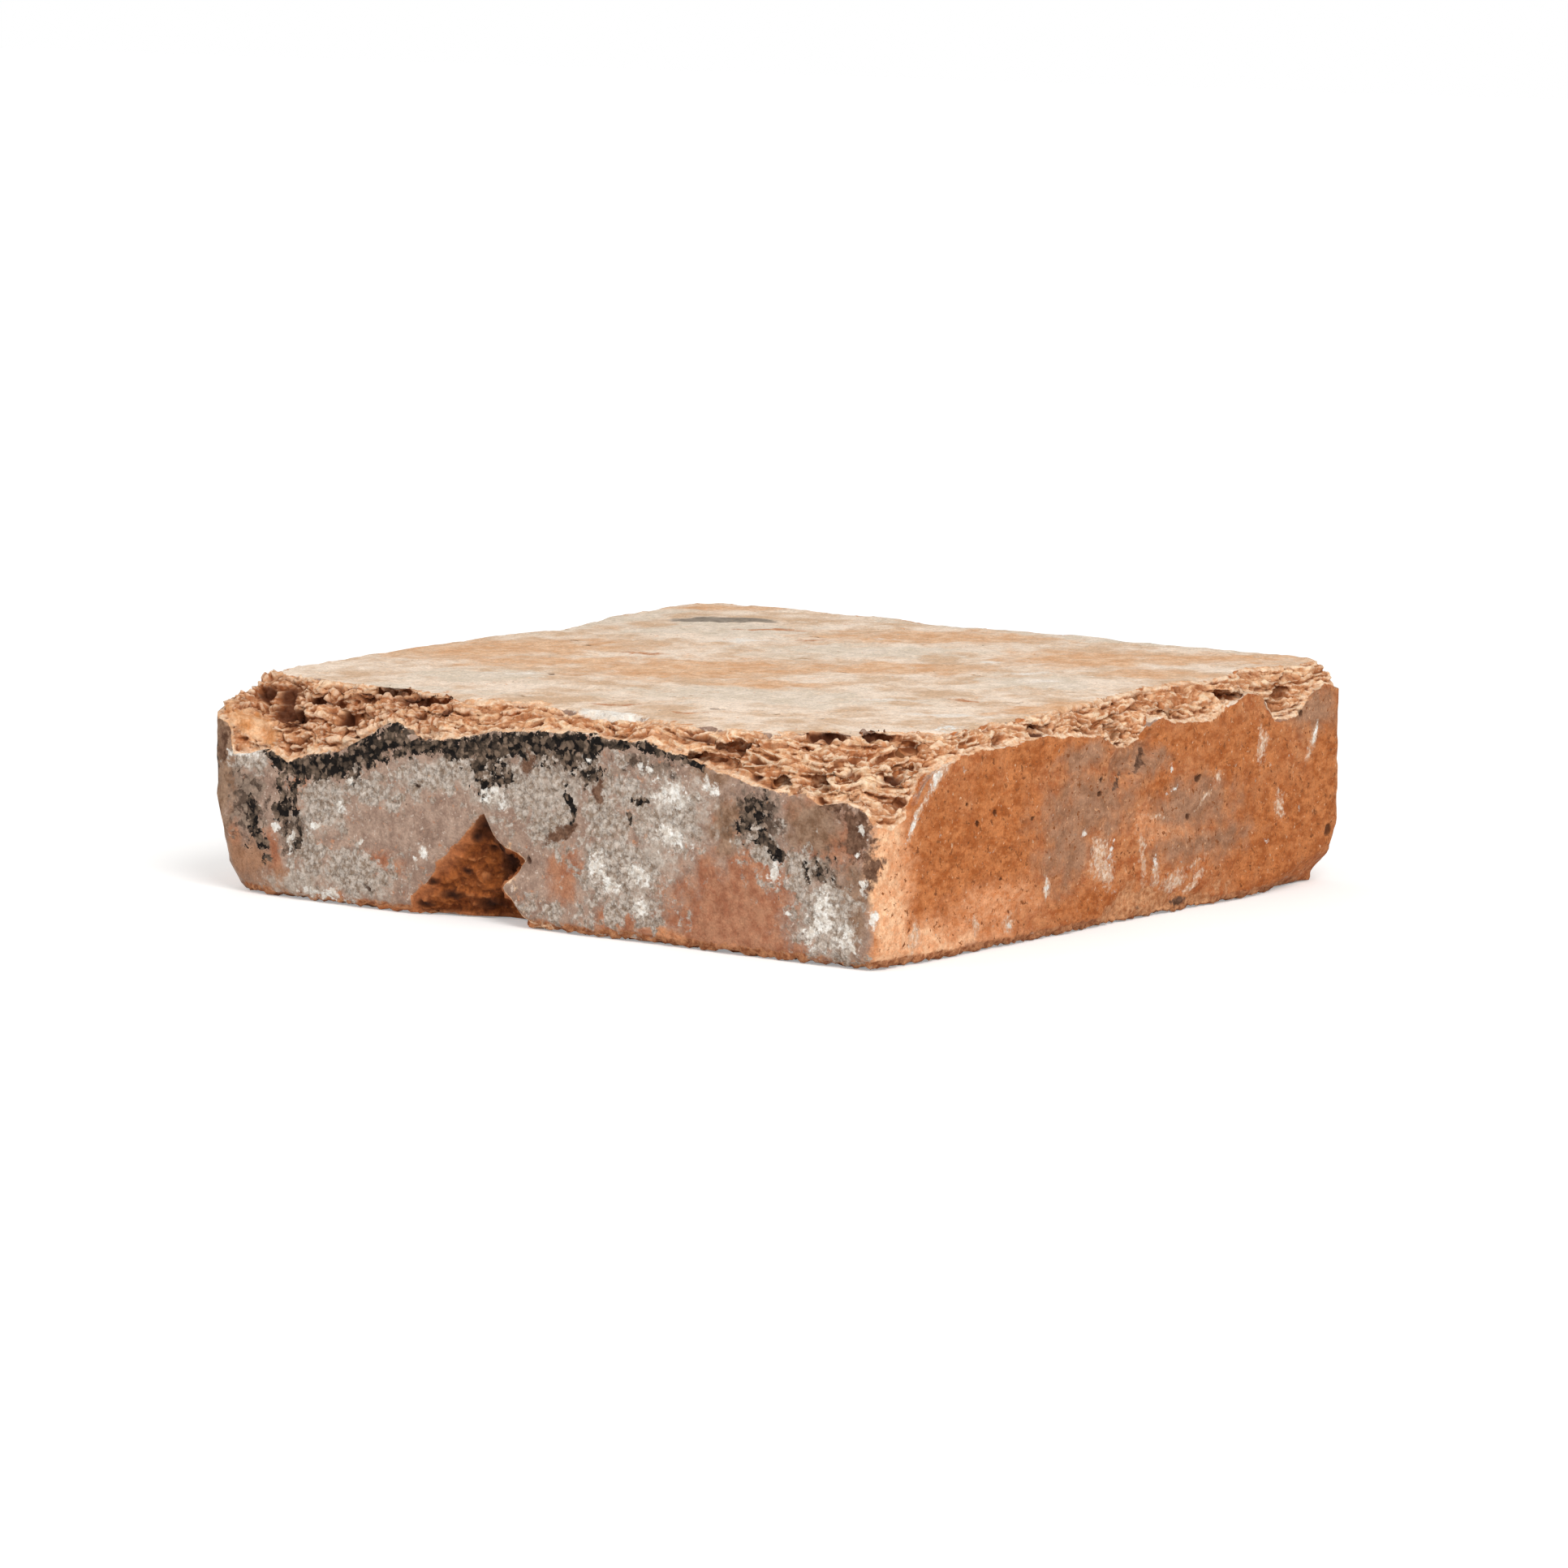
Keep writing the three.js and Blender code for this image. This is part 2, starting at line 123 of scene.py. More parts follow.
# Marks on the faces: place along the face and up it, half length, half height, and the tilt in
# degrees where there is one. On the top and the bottom the places are x and y.
marks = {
    "orangeSkin": [
        ("right", (-88, 20, 34, 30), (-60, 32, 22, 26), (28, 47, 30, 6), (80, 16, 34, 22),
         (60, 42, 24, 12), (-12, 6, 20, 6), (105, 30, 12, 24), (16, 36, 9, 5), (-40, 50, 34, 5)),
        ("back", (50, 26, 50, 26), (-70, 14, 34, 16)),
        ("left", (40, 34, 60, 26), (-80, 12, 30, 18)),
        ("bottom", (40, 30, 60, 50, 30), (-60, -50, 40, 50)),
    ],
    "paleOrange": [
        ("right", (-86, 3, 44, 10), (-104, 20, 9, 28), (-60, 12, 26, 7), (20, 24, 20, 6, -8)),
        ("front", (60, 2, 40, 2.5)),
        ("back", (90, 6, 30, 8)),
    ],
    "rustSkin": [
        ("front", (66, 11, 24, 17, 8), (74, 22, 12, 9), (12, 15, 6, 9), (97, 31, 10, 4),
         (28, 5, 10, 5), (82, 3, 16, 4), (-60, 1.5, 18, 2), (20, 1, 30, 1.6), (66, 34, 5, 6),
         (92, 40, 8, 5), (104, 33, 5, 9), (-91, 10, 3, 9), (-104, 15, 3, 9), (-52, 12, 8, 5),
         (-78, 31, 8, 4)),
        ("right", (-84, 1, 30, 1.6)),
    ],
    "mauveFilm": [
        ("right", (-16, 33, 27, 11), (-28, 24, 14, 14), (34, 29, 26, 8), (96, 50, 14, 7),
         (6, 44, 18, 5), (-20, 47, 12, 5), (40, 18, 28, 5)),
        ("front", (-101, 9, 9, 8), (-88, 5, 10, 4)),
        ("back", (-20, 34, 40, 22)),
        ("left", (-30, 28, 36, 22)),
        ("bottom", (-20, 60, 60, 30)),
    ],
    "peachWear": [
        ("right", (-111, 18, 3.6, 24), (-98, 4, 14, 6), (-107, 33, 5, 6), (-84, 3, 14, 3),
         (-106, 12, 5, 14)),
        ("back", (112, 30, 3, 22)),
        ("left", (-112, 30, 3, 20)),
    ],
    "brownSkin": [
        ("front", (66, 34, 6, 9), (93, 37, 9, 8, -12), (-110.5, 38, 8, 26), (-105, 45, 6, 5, -40),
         (60, 46, 6, 2.5), (105, 15, 6, 12)),
        ("left", (-111, 36, 9, 30), (-70, 42, 22, 9)),
        ("back", (10, 20, 24, 14)),
    ],
    "darkBrown": [
        ("front", (107, 36, 6, 8), (112.5, 26, 3, 7), (100, 42, 5, 3), (-108.5, 41, 2.6, 6),
         (24, 38, 2.2, 4), (10.5, 27, 6, 2, 24), (-1, 44, 4, 4)),
        ("right", (12, 3, 7, 2.4), (31, 3, 6, 2), (9, 43, 6, 1, 38), (-2, 38.6, 6, 0.8, 30)),
        ("back", (-40, 6, 20, 4)),
        ("left", (30, 5, 26, 4)),
        ("bottom", (60, -60, 20, 14, 20)),
    ],
    "limeFilm": [
        ("front", (48, 36, 14, 10), (42, 24, 8, 6), (30, 18, 13, 8), (-73, 27, 8, 9),
         (-30, 38.5, 16, 5, 12), (-97, 38.5, 5, 3), (98, 11, 9, 10), (-14, 35.5, 8, 4),
         (4, 37, 14, 8), (-60, 8, 16, 5), (-80, 4, 16, 4)),
        ("back", (-60, 40, 30, 12), (66, 30, 10, 18)),
        ("left", (10, 40, 36, 9)),
        ("bottom", (10, -20, 40, 34)),
    ],
    "creamFilm": [
        ("right", (-10, 19, 5.5, 7), (-8, 14, 3.6, 4.4), (-13, 23, 3, 3), (9.2, 16, 10, 1.8, -74),
         (17, 10, 2.6, 6), (26, 9, 6, 3.4, 20), (36, 12.8, 9, 0.8), (36, 8, 5, 2.4, 30),
         (-55, 6, 4, 2.6, 20), (-71, 7, 2, 4), (-96.5, 7, 2.6, 6), (-87, 48.6, 6, 2.2, 30),
         (-95, 40, 10, 1.6, 60), (69.2, 43, 2.4, 6.5), (96, 42, 6, 1.8, 57), (92, 38.5, 1.2, 3.4),
         (79, 24, 3, 4), (47.5, 36, 3, 2.2), (-36, 14, 1.6, 4.4), (40, 30, 6, 1.4, 20),
         (16, 28, 8, 1, -12)),
        ("front", (112.6, 14, 1, 2.4)),
    ],
    "warmWhite": [
        ("top", (60, 33, 8, 3.4, 36), (71, 21, 8, 4, 36), (38, 45.5, 4, 3, 36),
         (-16, 71, 6, 3, 36), (-53, -54, 9, 3, 30), (-47, 42, 10, 6, 36), (92, -52, 14, 4, 20),
         (60, -36, 12, 3, 30)),
    ],
    "limeCrust": [
        ("front", (-99, 38, 7, 3.4), (-72, 28, 9, 9), (-30, 39, 17, 5, 12), (-56, 33, 12, 5),
         (0, 38, 15, 12), (5, 27, 9, 5), (26, 35, 15, 12), (46, 33, 10, 8), (28, 20, 14, 9),
         (33, 9, 13, 8), (98, 11, 10, 10), (-62, 10, 16, 6), (-78, 12, 7, 8), (78, 28, 6, 9),
         (90, 24, 5, 6), (6, 5, 10, 3), (-3, 50, 8, 3)),
        ("back", (-60, 40, 34, 14), (30, 12, 26, 10)),
        ("left", (0, 40, 40, 12), (70, 14, 22, 11)),
        ("bottom", (10, -20, 40, 34), (-70, 60, 30, 26)),
    ],
    "whiteLime": [
        ("front", (-101, 39, 5, 2.2), (-89, 19, 1.6, 3.4), (-73, 1.8, 8, 2.4), (-84, 17, 1, 4),
         (-14, 35.5, 5, 2), (-9, 33, 1.5, 1.8), (-38, 17, 1.4, 2.4), (-41, 15, 0.8, 1.2),
         (-58, 18, 1, 2, -30), (-62, 33, 1.2, 1), (-67, 27, 3, 2), (-75, 20, 4, 1, 10),
         (97, 13, 5.4, 7.4), (104, 7, 4, 3), (93, 8, 3, 3), (80.5, 23.5, 1.9, 3.6),
         (108.5, 37, 1.6, 1.8), (107, 30, 1.1, 1.6), (110, 22, 1.5, 1.5), (39, 45.5, 2.4, 1.8),
         (20, 47.5, 1.4, 1.1), (24, 19, 5, 4.5), (36, 19, 5, 3.4), (37, 10, 3, 4.5), (47, 29, 7, 4),
         (48, 40, 7, 5), (60, 43, 3, 2.4), (27, 14, 5, 3), (85, 11, 2.4, 1, -20),
         (112.5, 14, 1, 2.4)),
        ("right", (-18.3, 27.4, 1.6, 1.3), (16.7, 14.6, 1.3, 3.2), (-36, 14, 0.9, 3.2),
         (-4.5, 20, 4, 0.9, 62), (97, 43, 4, 0.9, 57), (73, 15, 1.2, 1.2), (-89, 47.5, 3.4, 1, 30),
         (-97, 37, 6, 0.7, 60), (23.2, 40, 0.8, 1.8), (24, 33, 4, 0.5, 12), (-54, 5.5, 1.4, 1)),
        ("top", (107, -72, 3, 6), (-19.5, -53.5, 1.6, 1.6)),
    ],
    "soot": [
        ("front", (-86.5, 27, 3, 7), (-82, 25, 1.1, 10), (-96, 18, 3, 8, 10), (-17, 43.5, 6, 3),
         (-80, 35.5, 2.4, 4), (12, 48, 10, 4, -6), (20, 44, 4, 3, -30), (75, 38, 4, 7),
         (80, 29.5, 5, 2.2, -42), (96, 24, 4.4, 3.8, 30), (12, 35, 1.2, 5, 10), (37, 38.5, 3, 1),
         (-16, 37.5, 4.5, 3.4, -30), (-10, 40, 3, 2.4), (33, 33, 1, 1.2)),
        ("back", (-60, 48, 30, 5)),
        ("left", (-90, 36, 20, 8)),
        ("bottom", (-20, 40, 20, 14)),
    ],
    "sootFilm": [
        ("front", (-99, 26, 8, 11), (-13, 43, 11, 8), (14, 46, 12, 7), (76, 37, 8, 10),
         (40, 47, 14, 3), (96, 24, 7, 6), (-84, 20, 5, 10)),
        ("back", (-56, 46, 40, 10)),
        ("left", (-88, 34, 26, 12)),
    ],
    "peachTop": [
        ("top", (-90, -13, 44, 20, 50), (-62, -30, 26, 12, 40), (-21, -17, 40, 22, 36),
         (22, 17, 30, 13, 36), (-9, 83, 36, 16, 36), (56, 70, 26, 20, 36), (105, -20, 20, 9, 80),
         (-98, 102, 20, 7, 36), (84, 92, 26, 12, 36), (16, -30, 20, 9, 36), (88, 54, 14, 10, 36)),
    ],
    "redTop": [
        ("top", (-54, 68, 15, 2.4, 33), (8, -88, 8, 2, 36), (34, -88, 8, 1.6, 36), (77, -24, 7, 2),
         (-31, 56, 6, 2, 30), (-52, 2, 6, 2.4, 40)),
    ],
    "scratches": [
        ("top", (-75, -20, 7, 0.9, 40), (-78, 8, 7, 0.9, -20), (-43.5, -72, 4, 0.8, 35),
         (52, 20, 5, 1.0, -30), (53, -76, 5, 0.7), (91.5, 4.5, 2.4, 1.4, 36),
         (91.5, -19.5, 2.4, 1.2, -20), (20, -40, 7, 0.7, 34), (40, 44, 5, 0.7, 40),
         (-20, -90, 6, 0.6, 20), (-10, 20, 6, 0.8, 30), (66, -50, 6, 0.6, 30),
         (-30, 84, 6, 0.8, 40), (14, -64, 7, 0.6, 28), (86, 40, 4, 0.8, 30)),
    ],
    "greyTop": [
        ("top", (-57, -62, 26, 16, 36), (-5, 44, 42, 17, 36), (-66, 60, 30, 22, 36),
         (74, 18, 20, 20, 36), (20, 110, 90, 8), (30, -50, 48, 20, 20), (-50, -93, 30, 7, 10),
         (-82, 46, 14, 12, 36), (-106, 60, 8, 40)),
    ],
    "brownTop": [("top", (-81, 77, 18, 6.5, 33))],
    "pits": [
        ("right", (-61, 36, 1.2, 1.1), (-63, 33.5, 0.8, 0.7), (-70, 34.5, 0.7, 0.7),
         (-75, 40.5, 1, 0.6), (-43, 33.5, 1, 0.8), (-59, 19, 1.1, 0.8, 20), (-11, 40.5, 1, 1.2),
         (-12, 37, 1.4, 0.9, 30), (11, 44.6, 2, 0.7, 40), (33, 26.5, 1.2, 1), (36, 36.5, 1.2, 0.8),
         (90, 50, 1.3, 1.6), (105, 15, 1.6, 1.5)),
        ("front", (-56, 6.5, 1.6, 0.7, -30), (-40, 35.5, 1.3, 0.8, -30),
         (-1, 19.5, 1.6, 1.2, -40)),
        ("top", (-87, 13, 2.6, 1.2), (-76, 8, 1.6, 1), (-13, -25, 2, 0.9), (-27, -34, 2.4, 1),
         (-47, -48, 2.4, 1), (18, 3, 2, 0.9), (51, 21, 2.6, 1), (30, 18, 1.6, 0.9), (90, 5, 2.4, 1),
         (91, -18, 2.2, 1), (48, -62, 2.6, 1), (34, -78, 2.4, 1), (-34, 62, 2.4, 1)),
    ],
}
markDepth = 4.5  # half the reach of a mark into the clay

# Lime caught on the front's break and the clean break of the near corner: middle, half sizes.
patches = {
    "limePatch": ((16.5, -101.5, 58.2), (13, 4.5, 3)),
    "paleBreak": ((99, -105, 47), (17, 13, 7)),
}
# Deep places in the broken clay and in the wedge: x, y, z and the half sizes along them. They are
# sunk into the relief and darkened with painted shade.
hollows = [
    (-105.5, -99.5, 54, 5, 5, 3.6), (-97.6, -99.5, 54, 5, 5, 5), (-95.5, -102, 49.5, 7, 6, 5),
    (-88.5, -107, 48.5, 5, 6, 4.5), (-85, -101, 53, 5, 4, 2), (-67, -102.6, 56, 5, 5, 2),
    (-62, -97.5, 57, 8, 3, 1.3), (-50, -101.5, 56.6, 9, 5, 2), (-70, -107.5, 50, 5, 4, 2.4),
    (-34.5, -108, 55, 3, 4, 2.4), (-76, -106, 52.5, 3, 4, 2), (-43, -108, 53, 4, 3, 1.6),
    (52.7, -109.5, 55.4, 8, 4, 1), (74, -112, 47.2, 3, 4, 1.6), (84, -96.5, 57.4, 9, 4, 1.4),
    (94, -89.5, 57.4, 9, 6, 1.3),
    (106.5, -99, 48.2, 6, 5, 1.5), (112, -40.2, 55.2, 4, 4, 1.4), (78, -102, 54, 8, 4, 1),
    (86, -102, 52.6, 9, 4, 1), (96, -99, 51.5, 9, 4, 1), (70, -108, 51, 7, 4, 1),
    (-20, -112, 23, 2.6, 4, 2.4), (-17, -109, 19.5, 2, 4, 2), (-10.5, -112, 24, 3, 5, 2.4),
    (-12.5, -106, 17, 4.5, 7, 8), (-13.5, -106, 10, 3.4, 6, 6), (-35, -112.5, 9.5, 3, 4, 1.6),
    (-30, -109.5, 6, 6, 4, 1.8), (-20, -105.5, 4, 6, 5, 3), (-25, -110, 13, 2, 4, 1.4),
    (-38, -111, 3, 4, 4, 1.6), (-15.8, -112.5, 26, 6, 7, 6), (-12.5, -110, 21.5, 5.5, 7, 6),
]
# Soot baked on below the front rim: from its lower edge to the rim and a little over it.
sootBake = {
    "ends": (-98, 58), "backTo": -108, "overlap": 0.6, "leastHalf": 0.3,
    "lower": [
        (-95, 41), (-91, 37), (-84, 33.5), (-67, 35), (-59, 37), (-54, 41), (-45, 43.5), (-35, 45),
        (-28, 44.5), (-20, 43), (-13, 42), (-8, 46), (3, 48), (12, 47), (20, 47), (25, 51.5),
        (36, 51.8), (48, 50.2), (60, 47.5),
    ],
}


def readPoints(mesh, name="position"):
    points = np.empty(len(mesh.vertices) * 3, np.float32)
    mesh.attributes[name].data.foreach_get("vector", points)
    return points.reshape(-1, 3).astype(float) / toMetres


def readNormals(mesh):
    normals = np.empty(len(mesh.vertices) * 3, np.float32)
    mesh.vertices.foreach_get("normal", normals)
    return normals.reshape(-1, 3)


def topPlane(x, y):
    return brick["topHeight"] + brick["topRise"][0] * x + brick["topRise"][1] * y


# Nothing on an old brick has a clean outline: every field is looked up a little way off. The
# seed has to be set, because this noise starts from the clock otherwise.
def strayed(points):
    noise.seed_set(brick["seed"])
    strays = np.empty_like(points)
    (broad, broadSize), (fine, fineSize) = brick["strays"]
    for i, point in enumerate(points):
        at = Vector(point)
        strays[i] = (broad * noise.noise_vector(at / broadSize)
                     + fine * noise.noise_vector(at / fineSize))
    return points + strays


def inBox(points, low, high):
    return np.all((points > low) & (points < high), axis=1)


# 1 at the middle of a rounded lump of space, 0 on its outline, and negative outside.
def ellipsoid(offsets, halves):
    return 1 - np.sqrt(((offsets / halves) ** 2).sum(axis=1))


# The break fades out under a face that is still whole.
def underFace(depth):
    return 2 * (depth - brick["underTop"])


# Millimetres into broken clay, above the rim of the skin and below the flat top. Negative outside.
def brokenField(points):
    x, y, z = points.T
    nearness = np.stack([-y, x, y, -x])
    side = nearness.argmax(axis=0)
    rim = np.empty(len(x))
    for i, (name, along) in enumerate(zip(("front", "right", "back", "left"), (x, y, x, y))):
        places, heights = zip(*brick["rim"][name])
        here = side == i
        rim[here] = np.interp(along[here], places, heights)
    depth = brick["half"] - nearness.max(axis=0)
    brokenOut = (z > brick["breakFoot"]) & ~inBox(points, *brick["gougeRound"])
    inner = np.where(brokenOut, depth - brick["inFromSide"], farOutside)
    outer = z - rim - brick["aboveRim"]
    return np.minimum(np.maximum(outer, inner), underFace(topPlane(x, y) - z))


# Millimetres into one of the chips in the side faces. Negative outside.
def chipField(points, names):
    x, y, z = points.T
    depth = brick["half"] - np.maximum(np.abs(x), np.abs(y))
    field = np.full(len(points), farOutside)
    for name in names:
        low, high = brick["chips"][name]
        along = int(high[1] - low[1] > high[0] - low[0])
        fromEnd = np.minimum(points[:, along] - low[along], high[along] - points[:, along])
        reach = np.minimum(depth - brick["chipIn"], brick["chipRise"] * fromEnd)
        field = np.where(inBox(points, low, high), np.maximum(field, reach), field)
    return np.minimum(field, underFace(np.minimum(topPlane(x, y) - z, z)))


# 1 at mid-height of the baked soot, 0 on its edges, and -1 away from it.
def sootBand(points):
    x, y, z = points.T
    lower = np.interp(x, *zip(*sootBake["lower"]))
    upper = np.interp(x, *zip(*brick["rim"]["front"]))
    half = np.maximum((upper - lower) / 2 + sootBake["overlap"], sootBake["leastHalf"])
    band = 1 - np.abs(z - (lower + upper) / 2) / half
    start, end = sootBake["ends"]
    onFace = (y < sootBake["backTo"]) & (x > start) & (x < end)
    return np.where(onFace, np.clip(band, -1, 1), -1)


# Directions along, up and out of each face.
xAxis, yAxis, zAxis = np.eye(3)
faces = {
    "front": (xAxis, zAxis, -yAxis), "back": (xAxis, zAxis, yAxis),
    "right": (yAxis, zAxis, xAxis), "left": (yAxis, zAxis, -xAxis),
    "top": (xAxis, yAxis, zAxis), "bottom": (xAxis, yAxis, -zAxis),
}


# 1 at the middle of one of the named marks, 0 on its outline, and -1 well away from it.
def markField(points, name):
    field = np.full(len(points), -1.0)
    for face, *shapes in marks[name]:
        across, upwards, outwards = faces[face]
        for along, up, halfAlong, halfUp, *tilt in shapes:
            faceReach = {"top": topPlane(along, up), "bottom": 0}.get(face, brick["half"])
            offset = points - (along * across + up * upwards + faceReach * outwards)
            near = np.abs(offset).max(axis=1) < 2 * max(halfAlong, halfUp, markDepth)
            u, v, out = (offset[near] @ axis for axis in (across, upwards, outwards))
            turn = math.radians(tilt[0] if tilt else 0)
            length = (u * math.cos(turn) + v * math.sin(turn)) / halfAlong
            height = (v * math.cos(turn) - u * math.sin(turn)) / halfUp
            reach = 1 - np.sqrt(length ** 2 + height ** 2 + (out / markDepth) ** 2)
            field[near] = np.maximum(field[near], reach)
    return field


def sootField(points, away):
    return np.maximum(markField(away, "soot"), sootBand(points))


def hollowField(points):
    field = np.full(len(points), -1.0)
    for hollow in hollows:
        field = np.maximum(field, ellipsoid(points - hollow[:3], hollow[3:]))
    return field


def ledgeField(points):
    ledge = brick["ledge"]
    offset = points - ledge["middle"]
    offset[:, 2] += ledge["fall"] * offset[:, 0]
    return ellipsoid(offset, ledge["half"])


def smoothWeight(field, low, high):
    share = np.clip((field - low) / (high - low), 0, 1)
    return share * share * (3 - 2 * share)


# 1 along the bottom arris, where the clay has rubbed and crumbled away, and 0 above it.
def footWeight(points):
    x, y, z = points.T
    atSide = smoothWeight(np.maximum(np.abs(x), np.abs(y)), *brick["foot"]["out"])
    return atSide * smoothWeight(z, *brick["foot"]["up"])


def setAttributes(mesh, fields):
    for name, values in fields.items():
        attribute = mesh.attributes.get(name) or mesh.attributes.new(name, "FLOAT", "POINT")
        attribute.data.foreach_set("value", np.ascontiguousarray(values, np.float32))


# Values at the vertices, each averaged with its neighbours' over and over.
def evened(mesh, values, rounds):
    edges = np.empty(len(mesh.edges) * 2, np.int32)
    mesh.edges.foreach_get("vertices", edges)
    a, b = edges.reshape(-1, 2).T
    count = np.bincount(a, minlength=len(values)) + np.bincount(b, minlength=len(values))
    for _ in range(rounds):
        total = np.zeros_like(values)
        for column in range(values.shape[1]):
            total[:, column] += np.bincount(a, values[b, column], len(values))
            total[:, column] += np.bincount(b, values[a, column], len(values))
        values = 0.5 * values + 0.5 * total / count[:, None]
    return values


# How hollow the surface is at each vertex: positive in a crevice, negative on a ridge.
def hollowness(mesh, points, rounds):
    return ((evened(mesh, points, rounds) - points) * readNormals(mesh)).sum(axis=1)


def bake(shape, name):
    baked = bpy.data.meshes.new_from_object(
        shape.evaluated_get(bpy.context.evaluated_depsgraph_get())
    )
    bpy.data.objects.remove(shape)
    made = bpy.data.objects.new(name, baked)
    bpy.context.scene.collection.objects.link(made)
    return made


def fineCopy(node, name):
    mesh = node.data.copy()
    mesh.materials.clear()
    welded = bmesh.new()
    welded.from_mesh(mesh)
    bmesh.ops.remove_doubles(welded, verts=welded.verts, dist=toMetres * brick["weld"])
    welded.to_mesh(mesh)
    welded.free()
    shape = bpy.data.objects.new(name, mesh)
    bpy.context.scene.collection.objects.link(shape)
    remesh = shape.modifiers.new("Remesh", "REMESH")
    remesh.mode = "VOXEL"
    remesh.voxel_size = brick["voxel"] * toMetres
    return bake(shape, name)


# Each kind of relief: the weight it is on, its grain along x, y and z, and spans of its pattern
# with the height at the two ends of each. A kind with "some" lies in cells: its pattern is the
# way in from a cell's edge, and only the cells whose random value is past that span have it.
reliefs = {
    "Break": {"on": "brokenWeight", "grain": (12, 12, 8), "steps": [(0.3, 0.7, -0.5, 0.5)]},
    "Lump": {"on": "lumpWeight", "grain": (12, 12, 5), "some": (0.0, 0.8),
             "steps": [(0.0, 0.1, -1.2, 0.7)]},
    "Shard": {"on": "lumpWeight", "grain": (5, 5, 2.4), "some": (0.2, 0.8),
              "steps": [(0.0, 0.1, -0.6, 0.3)]},
    "Flake": {"on": "flakeWeight", "grain": (9, 9, 1.4),
              "steps": [(0.3, 0.47, 0.4, 0.0), (0.5, 0.62, 0.0, -1.2)]},
    "Cell": {"on": "cellWeight", "grain": (8, 8, 1.8), "some": (0.68, 0.76),
             "steps": [(0.04, 0.3, 0.2, -1.2)]},
    "Sheet": {"on": "flakeWeight", "grain": (6, 6, 0.8), "steps": [(0.42, 0.58, 0.2, -0.3)]},
    "Crumb": {"on": "brokenWeight", "grain": (2.2, 2.2, 1.6), "steps": [(0.3, 0.7, -0.4, 0.4)]},
    "Chip": {"on": "chipWeight", "grain": (8, 8, 4), "steps": [(0.3, 0.7, -1.3, 1.3)]},
    "Grit": {"on": "chipWeight", "grain": (2.6, 2.6, 2), "steps": [(0.3, 0.7, -0.6, 0.6)]},
    "Crust": {"on": "sootWeight", "grain": (2.0, 2.0, 1.8), "steps": [(0.3, 0.7, -0.5, 0.5)]},
    "Lime": {"on": "limeWeight", "grain": (2.4, 2.4, 2.4), "steps": [(0.3, 0.7, -0.2, 0.2)]},
    "Skin": {"on": "skinWeight", "grain": (9, 9, 9), "steps": [(0.3, 0.7, -0.25, 0.25)]},
    "Foot": {"on": "footWeight", "grain": (3, 3, 2), "steps": [(0.3, 0.7, 0.2, -1.0)]},
    "Hollow": {"on": "hollowWeight", "grain": (4, 4, 3), "steps": [(0.3, 0.7, -1.2, -2.2)]},
}
# The layers of the clay dip and rise over this length, by this much along x, y and z.
folds = {"size": 18, "reach": (4, 4, 8)}
# Settings that many nodes share.
smoothly = {"interpolation_type": "SMOOTHSTEP"}
inColour = {"data_type": "RGBA"}


def folded(tree, place):
    wide = addNode(tree, "ShaderNodeTexNoise", {}, {
        "Vector": place, "Scale": 1 / folds["size"], "Detail": 1.0})
    return addNode(tree, "ShaderNodeVectorMath", {"operation": "MULTIPLY_ADD"}, {
        0: wide.outputs["Color"], 1: folds["reach"], 2: place})


# The pattern of one kind of relief and the share it has in each cell: the same for the relief
# and for the painted shade and highlight that follow it.
def pattern(tree, place, kind):
    index = list(reliefs).index(kind)
    stretch = tuple(1 / size for size in reliefs[kind]["grain"])
    start = tuple(brick["seed"] + step * index for step in brick["seedSteps"])
    stretched = addNode(tree, "ShaderNodeVectorMath", {"operation": "MULTIPLY_ADD"}, {
        0: place, 1: stretch, 2: start})
    grain = addNode(tree, "ShaderNodeTexNoise", {}, {
        "Vector": stretched, "Scale": 1.0, "Detail": 2.0, "Roughness": 0.5, "Distortion": 0.25})
    if "some" not in reliefs[kind]:
        return grain, 1.0
    bent = addNode(tree, "ShaderNodeVectorMath", {"operation": "MULTIPLY_ADD"}, {
        0: grain.outputs["Color"], 1: (0.8, 0.8, 0.8), 2: stretched})
    edge = addNode(tree, "ShaderNodeTexVoronoi", {"feature": "DISTANCE_TO_EDGE"}, {
        "Vector": bent, "Scale": 1.0})
    cell = addNode(tree, "ShaderNodeTexVoronoi", {}, {"Vector": bent, "Scale": 1.0})
    low, high = reliefs[kind]["some"]
    taking = addNode(tree, "ShaderNodeMapRange", {}, {
        "Value": cell.outputs["Color"], "From Min": low, "From Max": high})
    return edge, taking


